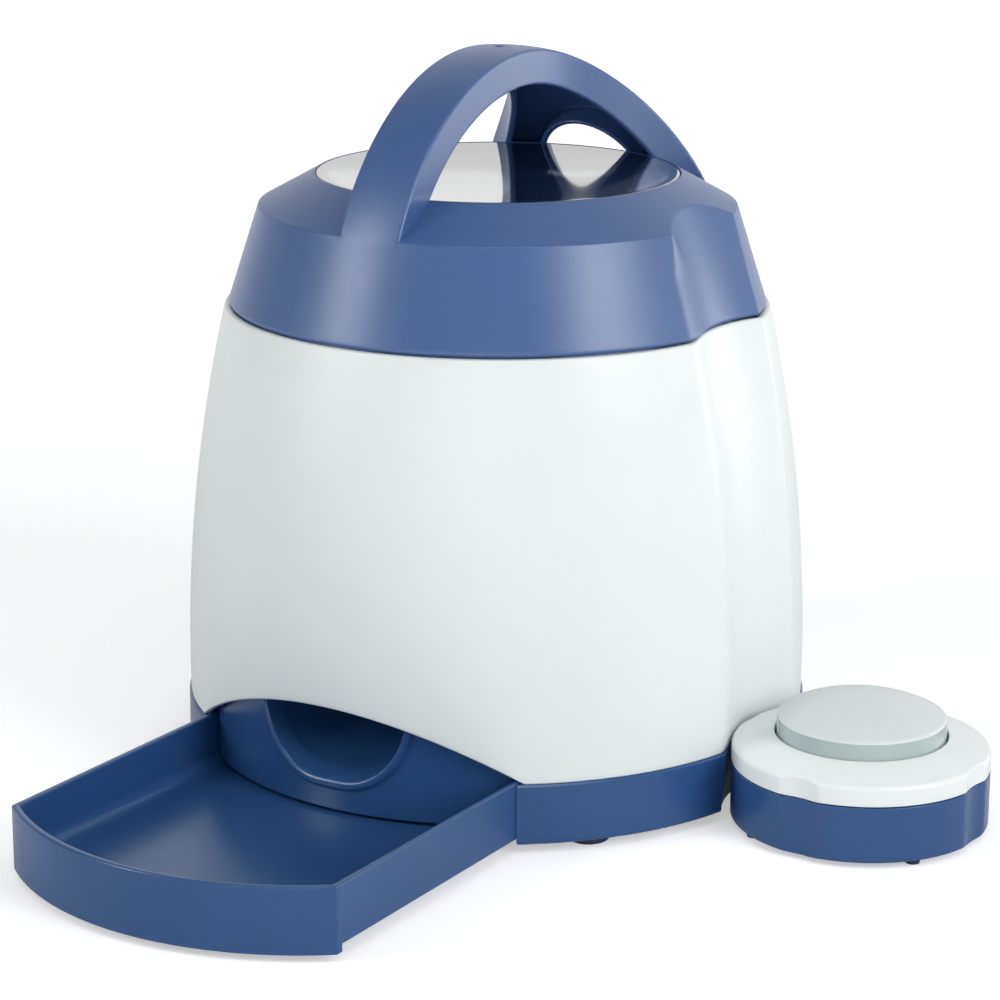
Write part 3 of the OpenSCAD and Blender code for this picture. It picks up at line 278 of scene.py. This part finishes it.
def side_turns(extra=()):
    """Directions of the columns, close together where the scoops' edges run."""
    close = np.arange(9.0, 19.01, 0.3)
    mid = np.arange(0.75, 9.0, 0.75)
    wide = np.linspace(19.6, 90, 44)[:-1]
    quarter = np.concatenate([mid, close, wide])
    turns = np.concatenate([quarter, 180 - quarter, -quarter, quarter - 180, [0, 90, 180, 270], extra])
    return np.radians(np.unique(np.round(turns % 360, 3)))


def arch_low(turn):
    """Lower edge of the shell: the base's top, or the arch over the tray."""
    x = ARCH_EDGE_R * np.cos(turn)
    arch = ARCH_CROWN - ARCH_R + np.sqrt(np.maximum(ARCH_R ** 2 - x * x, 0))
    return np.where(np.sin(turn) < 0, np.maximum(arch, BASE_TOP), BASE_TOP)


def body_shell():
    corner = math.degrees(math.asin(ARCH_HALF / ARCH_EDGE_R))
    turn = side_turns([270 - corner, 270 + corner])[None, :]
    low = arch_low(turn)
    top = SHELL_TOP + 0 * low
    edge, front_edge = SHELL_EDGE, 3.4
    tall = SHELL_TOP - 2 * edge - low
    bend = [(edge - edge * math.sin(a), edge - edge * math.cos(a)) for a in np.linspace(0, math.pi / 2, 6)]
    rows = [(d, low + h) for d, h in bend]
    rows += [(0.0, low + edge + t * tall) for t in np.linspace(0, 1, 74)[1:-1]]
    rows += [(d, top - h) for d, h in bend[::-1]]
    rows += [(SHELL_WALL - d, top - h) for d, h in bend]
    rows += [(SHELL_WALL, low + edge + t * tall) for t in np.linspace(1, 0, 26)[1:-1]]
    rows += [(SHELL_WALL - d, low + h) for d, h in bend[::-1]]
    d = np.array([row[0] for row in rows])[:, None]
    z = np.concatenate([row[1] for row in rows], 0)
    r = smooth_min(barrel(z), scoop(turn, z), crease(turn, front_edge)) - d
    points = np.stack([r * np.cos(turn), r * np.sin(turn), z], -1)
    piece("shell", points, loft_faces(*z.shape, ring=True), "dispenser", finish["shell_white"],
          ["body_shell"])


# the lid, its handle and its window

def lid_profile():
    """The lid's section: its outside from the foot to the window's seat, and its inside back down."""
    foot, shoulder, rim = (LID_R, LID_Z), (SHOULDER_R, SHOULDER_Z), np.array([WINDOW_R, WINDOW_Z])
    up = np.array(shoulder) - foot
    up = up / np.hypot(*up)
    back = rim - shoulder
    back = back / np.hypot(*back)
    lean = math.degrees(math.atan2(-up[0], up[1]))
    climb = LID_FOOT_ROUND * (1 + math.sin(math.radians(lean))) / up[1]
    low = foot + up * climb - np.array([up[1], -up[0]]) * LID_FOOT_ROUND
    outer = arc(low, LID_FOOT_ROUND, -90, lean, 7)
    bend = rounded_corner(foot, shoulder, rim, SHOULDER_ROUND, 9)
    outer += between(outer[-1], bend[0], np.linspace(0, 1, 46)[1:-1])
    outer += bend
    outer += between(bend[-1], rim - back * 0.8, np.linspace(0, 1, 44)[1:])
    seat, under = WINDOW_Z - WINDOW_SEAT, WINDOW_Z - WINDOW_SEAT - LID_WALL
    outer += [(WINDOW_R + 0.25, WINDOW_Z - 0.1), (WINDOW_R, WINDOW_Z - 0.5), (WINDOW_R, seat),
              (WINDOW_R - WINDOW_LEDGE, seat), (WINDOW_R - WINDOW_LEDGE, under)]
    inner_shoulder = (SHOULDER_R - 3.6, SHOULDER_Z - 2.4)
    inner = between((WINDOW_R - 1.1, under), inner_shoulder, np.linspace(0, 1, 14))
    inner += between(inner_shoulder, (LID_R - 2.7, LID_Z + 0.3), np.linspace(0, 1, 14)[1:])
    inner += [(LID_R - 2.4, LID_Z)]
    return outer, inner


def lid_cover():
    outer, inner = lid_profile()
    n = len(outer)
    section = np.array(outer + inner)
    r, z = section[:, :1], section[:, 1:]
    turn = side_turns()[None, :]
    cut = scoop(turn - LID_TURN, z)
    # the scoop's front edge is crisp under the shoulder and softens on its way down
    soft = 1.2 + 5.0 * np.clip((194 - z[:n]) / 12, 0, 1)
    out = smooth_min(r[:n], cut[:n], crease(turn - LID_TURN, soft))
    wall_r = LID_R - (z[:n] - LID_Z) * (LID_R - SHOULDER_R) / (SHOULDER_Z - LID_Z)
    foot_in = np.clip(wall_r - r[:n], 0, 2) * (z[:n] < LID_Z + 3)
    out = np.minimum(out, cut[:n] - foot_in)
    r = np.concatenate([out, np.minimum(r[n:], cut[n:] - LID_WALL)], 0)
    z = np.repeat(z, turn.shape[1], 1)
    points = np.stack([r * np.cos(turn), r * np.sin(turn), z], -1)
    faces = loft_faces(*z.shape, ring=True)
    piece("lid_cover", points, faces, "lid", finish["lid_blue"], ["lid"])


def past_cone(r, z, low, high):
    """Distance outside the cone that runs up from one (radius, height) to the next."""
    rise, run = high[1] - low[1], low[0] - high[0]
    return ((r - low[0]) * rise + (z - low[1]) * run) / math.hypot(rise, run)


def handle_field(p):
    """Distance to the handle's surface, negative inside it."""
    c, s = math.cos(LID_TURN), math.sin(LID_TURN)
    x, y, z = p[..., 0] * c + p[..., 1] * s, p[..., 1] * c - p[..., 0] * s, p[..., 2]
    r = np.hypot(x, y)
    ball = np.sqrt(x * x + y * y + (z - HANDLE_Z) ** 2) - HANDLE_R
    room = GRASP_R - np.sqrt(x * x + y * y + (z - GRASP_Z) ** 2)
    wall = past_cone(r, z, (LID_R, LID_Z), (SHOULDER_R, SHOULDER_Z)) - 0.03
    slope = past_cone(r, z, (SHOULDER_R, SHOULDER_Z), (WINDOW_R, WINDOW_Z))
    # a strap in front that flares to the rear, with a widening hole between its rear legs
    across = np.abs(x)
    flare = FLARE_R - np.hypot(across - HANDLE_HALF - FLARE_R, y - FLARE_Y)
    plan = np.where(y < FLARE_Y, across - HANDLE_HALF, flare)
    wide = HOLE_R + HOLE_SPREAD * (y - HOLE_Y)
    hole = np.where(y > HOLE_START, (wide - np.hypot(x, z - HOLE_Z)) * 0.894, -20.0)
    # its outside runs on into the lid's wall below the shoulder
    proud = 0.15 - 0.05 * (SHOULDER_Z - z)
    body = smooth_max(ball, wall - proud, 0.5)
    body = smooth_max(body, plan, 1.0)
    body = smooth_max(body, room, 1.0)
    body = smooth_max(body, hole, 1.2)
    foot = np.maximum(-wall - 2.0, SHOULDER_Z - 9 - z)
    body = np.maximum(body, np.minimum(-slope - 2.2, foot))
    # it is hollow from below, with ribs across
    step = np.clip(np.round(y / RIB_PITCH), RIB_FIRST, RIB_LAST) * RIB_PITCH
    rib = np.maximum(np.abs(y - step) - RIB_HALF, room + 0.6)
    hollow = np.maximum(ball + HANDLE_SKIN, plan + HANDLE_SIDE)
    hollow = np.maximum(hollow, hole + HANDLE_SIDE)
    hollow = smooth_max(hollow, -rib, 0.6)
    body = smooth_max(body, -hollow, 0.7)
    gate = np.sqrt((x - GATE[0]) ** 2 + (y - GATE[1]) ** 2 + (z - GATE[2]) ** 2)
    return smooth_max(body, GATE_R - gate, 0.4)


def slopes(field, p):
    """Direction in which a field grows."""
    h = 0.02
    steps = np.eye(3) * h
    grown = np.stack([field(p + s) - field(p - s) for s in steps], -1)
    return grown / (2 * h)


def surface_net(field, low, high, step):
    """Quads on the zero surface of a field, with their points set on it and its normals."""
    axes = [np.arange(a, b + step, step) for a, b in zip(low, high)]
    value = field(np.stack(np.meshgrid(*axes, indexing="ij"), -1))
    solid = value < 0
    nx, ny, nz = solid.shape
    offsets = [(a, b, c) for a in (0, 1) for b in (0, 1) for c in (0, 1)]
    count = sum(solid[a:nx - 1 + a, b:ny - 1 + b, c:nz - 1 + c].astype(np.int8) for a, b, c in offsets)
    cells = np.argwhere((count > 0) & (count < 8))
    index = np.full((nx - 1, ny - 1, nz - 1), -1)
    index[tuple(cells.T)] = np.arange(len(cells))
    corner = np.array(offsets)
    at = np.stack([value[tuple((cells + o).T)] for o in corner], -1)
    total = np.zeros((len(cells), 3))
    crossings = np.zeros((len(cells), 1))
    for i in range(8):
        for j in range(i + 1, 8):
            if np.abs(corner[i] - corner[j]).sum() == 1:
                cross = (at[:, i] < 0) != (at[:, j] < 0)
                gap = np.where(cross, at[:, i] - at[:, j], 1.0)
                t = np.where(cross, at[:, i] / gap, 0.0)[:, None]
                total += np.where(cross[:, None], corner[i] + t * (corner[j] - corner[i]), 0.0)
                crossings += cross[:, None]
    p = np.array(low) + (cells + total / crossings) * step
    for _ in range(4):
        g = slopes(field, p)
        move = field(p)[:, None] * g / np.maximum((g * g).sum(-1, keepdims=True), 0.2)
        p = p - np.clip(move, -step / 3, step / 3)
    faces = []
    for axis in range(3):
        u, v = (axis + 1) % 3, (axis + 2) % 3
        ahead = np.roll(solid, -1, axis)
        ends = np.argwhere(solid != ahead)
        shape = np.array(solid.shape)
        keep = (ends[:, axis] < shape[axis] - 1) & (ends[:, u] > 0) & (ends[:, v] > 0)
        keep &= (ends[:, u] < shape[u] - 1) & (ends[:, v] < shape[v] - 1)
        ends = ends[keep]
        eu, ev = np.eye(3, dtype=int)[u], np.eye(3, dtype=int)[v]
        quad = np.stack([index[tuple((ends - o).T)] for o in (eu + ev, ev, 0 * eu, eu)], -1)
        flip = ~solid[tuple(ends.T)]
        quad[flip] = quad[flip][:, ::-1]
        faces.append(quad)
    n = slopes(field, p)
    n = n / np.maximum(np.linalg.norm(n, axis=-1, keepdims=True), 1e-6)
    return p, np.concatenate(faces).tolist(), n


def handle():
    step = 0.65
    low, high = (-54, -91, 185), (54, 91, 252)
    points, faces, normals = surface_net(handle_field, low, high, step)
    piece("handle", points, faces, "lid", finish["lid_blue"], ["lid"], normals)


def lid_spigot():
    r, top, low = barrel(LID_Z) - SPIGOT_IN, LID_Z + SPIGOT_TOP, LID_Z - SPIGOT_DEEP
    rows = [(r, top), (r - SPIGOT_WALL, top), (r - SPIGOT_WALL, low + 0.4), (r - SPIGOT_WALL + 0.4, low),
            (r - 0.6, low), (r, low + 0.8)]
    for name, middle in (("front", -90), ("rear", 90)):
        turn = np.radians(np.linspace(middle - SPIGOT_SPAN, middle + SPIGOT_SPAN, 80))
        grid = np.array([[(q * math.cos(t), q * math.sin(t), z) for q, z in rows] for t in turn])
        n = len(rows)
        faces = loft_faces(len(turn), n)
        faces += [list(range(n)), list(range((len(turn) - 1) * n, len(turn) * n))[::-1]]
        weighted(piece("lid_spigot_" + name, grid, faces, "lid", finish["lid_blue"]))


def window_pane():
    r, top, low = WINDOW_R - PANE_GAP, WINDOW_Z - 0.2, WINDOW_Z - WINDOW_SEAT
    profile = [(AXIS, low), (r - 0.4, low), (r, low + 0.3)]
    profile += [(r, top - 0.5), (r - 0.15, top - 0.15), (r - 0.5, top)]
    profile += [(q, top - PANE_SAG * (1 - (q / r) ** 2)) for q in np.linspace(r - 1.2, AXIS, 30)]
    grid = lathe(profile, 200)
    faces = loft_faces(*grid.shape[:2])
    weighted(piece("window", grid, faces, "lid", finish["clear"], ["window_pane"]))


# the tray, the wall behind the arch and its mouth

FRONT_POINTS, BEND_POINTS = 81, 7


def tray_outline(inset, corner, rear_corner):
    """The tray in plan, counter-clockwise from the front wall's left end."""
    h, r, rear = TRAY_HALF - inset, TRAY_R - inset, TRAY_REAR_Y - inset
    cy = TRAY_ARC_Y - math.sqrt((r - corner) ** 2 - (h - corner) ** 2)
    spread = math.degrees(math.asin((h - corner) / (r - corner)))
    front = arc((0, TRAY_ARC_Y), r, -90 - spread, -90 + spread, FRONT_POINTS)
    bend = arc((h - corner, cy), corner, -90 + spread, 0, BEND_POINTS + 1)[1:]
    # two points on one place, for the step at the end of the front's dropped lip
    start = TRAY_STEP_Y
    side = [(h, start), (h, start), (h, start + 0.5)]
    side += [(h, y) for y in np.linspace(start + 0.5, rear - rear_corner, 22)[1:]]
    back = arc((h - rear_corner, rear - rear_corner), rear_corner, 0, 90, 6)[1:]
    right = bend + side + back
    left = [(-x, y) for x, y in right[::-1]]
    return np.array(front + right + left)


def tray():
    edge, soft, wall = 0.7, 0.2, TRAY_WALL
    middle_in, middle_z = TRAY_WALL + TRAY_FILLET, TRAY_FLOOR + TRAY_FILLET
    # inset, height, and whether the front's lip hangs lower than the sides there
    rows = [(wall, TRAY_Z, False), (wall, TRAY_DROP, True), (edge, TRAY_DROP, True),
            (soft, TRAY_DROP + soft, True), (0.0, TRAY_DROP + edge, True), (0.0, TRAY_TOP - edge, False),
            (soft, TRAY_TOP - soft, False), (edge, TRAY_TOP, False), (wall - edge, TRAY_TOP, False),
            (wall - soft, TRAY_TOP - soft, False), (wall, TRAY_TOP - edge, False),
            (wall, middle_z + 0.2, False)]
    rows += [(middle_in - TRAY_FILLET * math.cos(a), middle_z - TRAY_FILLET * math.sin(a), False)
             for a in np.radians((4, 18, 36, 54, 72, 86))]
    rows += [(middle_in + 0.3, TRAY_FLOOR, False), (middle_in + 2.5, TRAY_FLOOR, False)]
    grid = []
    for inset, z, hangs in rows:
        plan = tray_outline(inset, 0.9 if inset < 2.4 else 1.6, 2.0)
        height = np.full(len(plan), z)
        if hangs:
            lip = np.zeros(len(plan), bool)
            lip[:FRONT_POINTS + BEND_POINTS + 1] = True
            lip[-BEND_POINTS - 1:] = True
            height = np.where(lip, z, z - TRAY_DROP + TRAY_Z)
        grid.append(np.column_stack([plan, height]))
    grid = np.array(grid)
    faces = loft_faces(*grid.shape[:2])
    n = grid.shape[1]
    faces += [list(range(n))[::-1], list(range((len(rows) - 1) * n, len(rows) * n))]
    weighted(piece("tray_shell", grid, faces, "tray", finish["deep_blue"], ["tray"]))


def on_chute(x, v, r):
    """The point of a cylinder of radius r that lies at x, v as seen along the mouth's axis."""
    y = -np.sqrt(r * r - x * x)
    along = -(y + CHUTE_R + v * math.sin(MOUTH_TILT)) / math.cos(MOUTH_TILT)
    z = MOUTH_Z + v * math.cos(MOUTH_TILT) - along * math.sin(MOUTH_TILT)
    return np.stack([x, y, z], -1)


def mouth_rim():
    """Outward directions round the mouth, and how far each starts from the middle."""
    n, m = 73, 9
    half = np.radians(np.linspace(-90, 90, n))
    flat = np.linspace(-1, 1, m + 2)[1:-1] * MOUTH_FLAT / 2
    turn = np.concatenate([half, np.full(m, math.pi / 2), half + math.pi, np.full(m, -math.pi / 2)])
    shift = np.concatenate([np.full(n, MOUTH_FLAT / 2), flat[::-1], np.full(n, -MOUTH_FLAT / 2), flat])
    return np.cos(turn), np.sin(turn), shift


def panel_edge(c, s, shift):
    """How far the panel reaches in each direction from the mouth, found by halving."""
    low, high = np.full(len(c), MOUTH_R + 4.5), np.full(len(c), 200.0)
    for _ in range(40):
        mid = (low + high) / 2
        x = shift + mid * c
        z = on_chute(np.clip(x, -CHUTE_R + 1, CHUTE_R - 1), mid * s, CHUTE_R)[:, 2]
        past_x = np.abs(x) - CHUTE_HALF + CHUTE_BEND
        past_z = np.abs(z - (CHUTE_TOP + CHUTE_LOW) / 2) - (CHUTE_TOP - CHUTE_LOW) / 2 + CHUTE_BEND
        over = np.hypot(np.maximum(past_x, 0), np.maximum(past_z, 0)) > CHUTE_BEND
        high = np.where(over, mid, high)
        low = np.where(over, low, mid)
    return low


def chute_wall():
    c, s, shift = mouth_rim()
    edge = panel_edge(c, s, shift)
    # the collar's section: outward from the mouth's edge, and height over the panel
    collar = [(-0.5, -6.0), (-0.25, -2.0), (-0.1, -0.3), (0.0, 0.45), (0.15, 0.85), (0.45, 1.15), (0.9, 1.28),
              (1.5, 1.3), (2.1, 1.25), (2.5, 1.08), (2.8, 0.75), (3.0, 0.4), (3.3, 0.12), (3.9, 0.0)]
    foot = MOUTH_R + collar[-1][0]
    spread = [(MOUTH_R + q, CHUTE_R + h) for q, h in collar]
    spread += [(foot + (edge - foot) * t, CHUTE_R) for t in np.linspace(0, 0.985, 24)[1:]]
    spread += [(edge, CHUTE_R - 0.25)]
    spread += [(MOUTH_R + (edge - MOUTH_R) * t, CHUTE_R - CHUTE_WALL) for t in np.linspace(1, 0, 8)]
    grid = np.array([on_chute(shift + q * c, q * s, r) for q, r in spread])
    faces = [f[::-1] for f in loft_faces(*grid.shape[:2])]
    piece("chute_front", grid, faces, "dispenser", finish["deep_blue"], ["chute_wall"])


# the push button

def gripped(r, turn):
    """The four shallow grips in the button's side."""
    bow = (GRIP_HALF ** 2 + GRIP_DEPTH ** 2) / (2 * GRIP_DEPTH)
    out = BUTTON_R - GRIP_DEPTH + bow
    near = (turn - BUTTON_TURN + math.pi / 4) % (math.pi / 2) - math.pi / 4
    side = np.clip(out * np.sin(near), -bow, bow)
    grip = np.where(np.abs(side) < bow * 0.98, out * np.cos(near) - np.sqrt(bow * bow - side * side), 100.0)
    return smooth_min(r, grip, 0.5)


def button_cup():
    profile = [(AXIS, CUP_FLOOR), (36.0, CUP_FLOOR), (CUP_IN_R, CUP_FLOOR), (CUP_IN_R, CUP_TOP - 0.3),
               (CUP_IN_R + 0.3, CUP_TOP), (BUTTON_R - 0.4, CUP_TOP), (BUTTON_R - 0.12, CUP_TOP - 0.12),
               (BUTTON_R, CUP_TOP - 0.4), (BUTTON_R, CUP_LOW + CUP_ROUND + 0.1)]
    profile += arc((BUTTON_R - CUP_ROUND, CUP_LOW + CUP_ROUND), CUP_ROUND, -10, -90, 7)
    profile += [(38.0, CUP_LOW), (20.0, CUP_LOW), (AXIS, CUP_LOW)]
    grid = lathe(profile[::-1], 288, BUTTON, gripped)
    weighted(piece("cup_side", grid, loft_faces(*grid.shape[:2]), "button", finish["deep_blue"],
                   ["button_cup"]))


def button_ring():
    hole = (RING_HOLE_R, RING_TOP)
    profile = [(CUP_IN_R, RING_LOW), (BUTTON_R - 0.6, RING_LOW), (BUTTON_R - 0.15, RING_LOW + 0.15),
               (BUTTON_R, RING_LOW + 0.6)]
    profile += rounded_corner((BUTTON_R, RING_LOW), (BUTTON_R, RING_EDGE), hole, RING_ROUND, 9)
    profile += between(profile[-1], hole, (0.25, 0.5, 0.75, 0.95))
    profile += [(RING_HOLE_R + 0.15, RING_TOP - 0.15), (RING_HOLE_R, RING_TOP - 0.5)]
    profile += [(RING_HOLE_R, RING_TOP - 2.2), (40.0, 26.0), (CUP_IN_R, 25.4)]
    grid = lathe(profile, 288, BUTTON, gripped)
    weighted(piece("ring_top", grid, loft_faces(*grid.shape[:2], ring=True), "button",
                   finish["ring_white"], ["button_ring"]))


def dome_cap():
    side = [(26.6, CAP_LOW), (CAP_FLANGE_R, CAP_LOW), (CAP_FLANGE_R, CAP_FLANGE_TOP), (28.5, CAP_FLANGE_TOP),
            (28.3, 28.8), (28.25, 32.0), (28.1, 36.6)]
    lip = [(28.05, 37.2), (27.9, 37.75), (27.62, 38.15), (27.2, 38.42)]
    crown = [(q, CAP_EDGE + CAP_RISE * (1 - (q / CAP_CROWN_R) ** CAP_BOW))
             for q in np.linspace(26.7, 1.7, 26)]
    dimple = [(1.25, 43.9), (0.9, 43.72), (AXIS, 43.68)]
    grid = lathe(side + lip + crown + dimple, 200, BUTTON)
    faces = loft_faces(*grid.shape[:2])
    finishes = [finish["clear_side"], finish["frosted"]]
    made = piece("dome", grid, faces, "cap", finishes, ["dome_cap"])
    split = len(side) * grid.shape[1]
    upper = [int(k >= split) for k in range(len(made.data.polygons))]
    made.data.polygons.foreach_set("material_index", upper)


body_shell()
lid_cover()
handle()
lid_spigot()
window_pane()
tray()
chute_wall()
button_cup()
button_ring()
dome_cap()

# the solids that stay get the same finishes, from their slots in the record
for row in frame["record"]["subparts"]:
    solid = nodes[row["node"]]
    if not solid.hide_render:
        solid.data.materials.clear()
        solid.data.materials.append(finish[row["material_slot"]])


# floor, light and camera

def seen_share(tree):
    """1 for rays from the camera, off gloss or through glass, else 0."""
    path = tree.nodes.new("ShaderNodeLightPath")
    first = tree.nodes.new("ShaderNodeMath")
    first.operation = "MAXIMUM"
    second = tree.nodes.new("ShaderNodeMath")
    second.operation = "MAXIMUM"
    tree.links.new(path.outputs["Is Camera Ray"], first.inputs[0])
    tree.links.new(path.outputs["Is Glossy Ray"], first.inputs[1])
    tree.links.new(first.outputs["Value"], second.inputs[0])
    tree.links.new(path.outputs["Is Transmission Ray"], second.inputs[1])
    return second.outputs["Value"]


def floor():
    """White paper that keeps the object's shadow."""
    bpy.ops.mesh.primitive_plane_add(size=16)
    plane = bpy.context.object
    plane.name = "floor"
    paper = bpy.data.materials.new("floor_paper")
    paper.use_nodes = True
    tree = paper.node_tree
    tree.nodes.clear()
    out = tree.nodes.new("ShaderNodeOutputMaterial")
    diffuse = tree.nodes.new("ShaderNodeBsdfDiffuse")
    diffuse.inputs["Color"].default_value = (0.82, 0.83, 0.84, 1)
    glow = tree.nodes.new("ShaderNodeEmission")
    glow.inputs["Color"].default_value = (1, 1, 1, 1)
    place = tree.nodes.new("ShaderNodeTexCoord")
    far = tree.nodes.new("ShaderNodeVectorMath")
    far.operation = "LENGTH"
    tree.links.new(place.outputs["Object"], far.inputs[0])
    # the paper glows less near the object, and least there in what mirrors it
    path = tree.nodes.new("ShaderNodeLightPath")
    fade = tree.nodes.new("ShaderNodeMapRange")
    tree.links.new(path.outputs["Is Camera Ray"], fade.inputs["Value"])
    for end, near, reach in (("To Min", 0.05, 1.6), ("To Max", 0.45, 2.0)):
        rise = tree.nodes.new("ShaderNodeMapRange")
        rise.inputs["From Min"].default_value = 0.3
        rise.inputs["From Max"].default_value = reach
        rise.inputs["To Min"].default_value = near
        rise.inputs["To Max"].default_value = 0.95
        tree.links.new(far.outputs["Value"], rise.inputs["Value"])
        tree.links.new(rise.outputs["Result"], fade.inputs[end])
    level = tree.nodes.new("ShaderNodeMath")
    level.operation = "MULTIPLY"
    tree.links.new(fade.outputs["Result"], level.inputs[1])
    tree.links.new(seen_share(tree), level.inputs[0])
    tree.links.new(level.outputs["Value"], glow.inputs["Strength"])
    both = tree.nodes.new("ShaderNodeAddShader")
    tree.links.new(diffuse.outputs["BSDF"], both.inputs[0])
    tree.links.new(glow.outputs["Emission"], both.inputs[1])
    tree.links.new(both.outputs["Shader"], out.inputs["Surface"])
    plane.data.materials.append(paper)


def surround():
    """A white backdrop behind and to the right, fading into a dimmer room above and on the camera's side."""
    world = bpy.data.worlds.new("studio")
    bpy.context.scene.world = world
    world.use_nodes = True
    tree = world.node_tree
    place = tree.nodes.new("ShaderNodeTexCoord")
    facing = tree.nodes.new("ShaderNodeVectorMath")
    facing.operation = "DOT_PRODUCT"
    facing.inputs[1].default_value = (0.34, 0.94, -0.7)
    tree.links.new(place.outputs["Generated"], facing.inputs[0])
    room = tree.nodes.new("ShaderNodeMapRange")
    room.interpolation_type = "SMOOTHSTEP"
    room.inputs["From Min"].default_value = -0.75
    room.inputs["From Max"].default_value = 0.5
    room.inputs["To Min"].default_value = 0.3
    room.inputs["To Max"].default_value = 1.0
    tree.links.new(facing.outputs["Value"], room.inputs["Value"])
    path = tree.nodes.new("ShaderNodeLightPath")
    share = tree.nodes.new("ShaderNodeMapRange")
    share.inputs["To Min"].default_value = 0.6
    share.inputs["To Max"].default_value = 1.0
    tree.links.new(seen_share(tree), share.inputs["Value"])
    level = tree.nodes.new("ShaderNodeMath")
    level.operation = "MULTIPLY"
    tree.links.new(room.outputs["Result"], level.inputs[0])
    tree.links.new(share.outputs["Result"], level.inputs[1])
    white = tree.nodes.new("ShaderNodeMath")
    white.operation = "MAXIMUM"
    tree.links.new(level.outputs["Value"], white.inputs[0])
    tree.links.new(path.outputs["Is Camera Ray"], white.inputs[1])
    tree.nodes["Background"].inputs["Color"].default_value = (1, 1, 1, 1)
    tree.links.new(white.outputs["Value"], tree.nodes["Background"].inputs["Strength"])


LAMP_AIM = Vector((0.03, -0.04, 0.12))


def softbox(name, azimuth, elevation, distance, width, height, power):
    """A soft lamp that looks at the object, in degrees, metres and watts; azimuth 0 is +X."""
    lamp = bpy.data.lights.new(name, "AREA")
    lamp.shape = "RECTANGLE"
    lamp.size = width
    lamp.size_y = height
    lamp.energy = power
    made = bpy.data.objects.new(name, lamp)
    a, e = math.radians(azimuth), math.radians(elevation)
    out = Vector((math.cos(a) * math.cos(e), math.sin(a) * math.cos(e), math.sin(e)))
    made.location = LAMP_AIM + out * distance
    made.rotation_mode = "QUATERNION"
    made.rotation_quaternion = out.to_track_quat("Z", "Y")
    bpy.context.scene.collection.objects.link(made)


def camera():
    """The photo's camera, fitted to the ellipses seen in it."""
    made = bpy.data.objects.new("camera", bpy.data.cameras.new("camera"))
    made.data.sensor_width = 36.0
    made.data.lens = 112.77
    made.data.shift_x = 0.0028
    made.data.shift_y = -0.0167
    made.data.clip_end = 50.0
    turn, pitch, roll = math.radians(31.84), math.radians(15.26), math.radians(0.21)
    ahead = Vector((-math.sin(turn) * math.cos(pitch), math.cos(turn) * math.cos(pitch), -math.sin(pitch)))
    right = Vector((math.cos(turn), math.sin(turn), 0))
    up = right.cross(ahead)
    across = right * math.cos(roll) + up * math.sin(roll)
    above = up * math.cos(roll) - right * math.sin(roll)
    place = Matrix((across, above, -ahead)).transposed().to_4x4()
    place.translation = Vector((0.5600, -0.9016, 0.3854))
    made.matrix_world = place
    bpy.context.scene.collection.objects.link(made)
    bpy.context.scene.camera = made


floor()
surround()
softbox("key", -10, 24, 1.7, 0.7, 1.0, 13.5)
softbox("fill", -128, 22, 1.7, 0.34, 1.0, 9.5)
softbox("rim", 56, 2, 1.7, 0.8, 0.3, 3)
softbox("top", -50, 63, 1.8, 1.6, 0.25, 6)
softbox("low", -70, 5, 2.0, 1.4, 0.5, 5)
camera()
bpy.context.scene.view_settings.view_transform = "Standard"
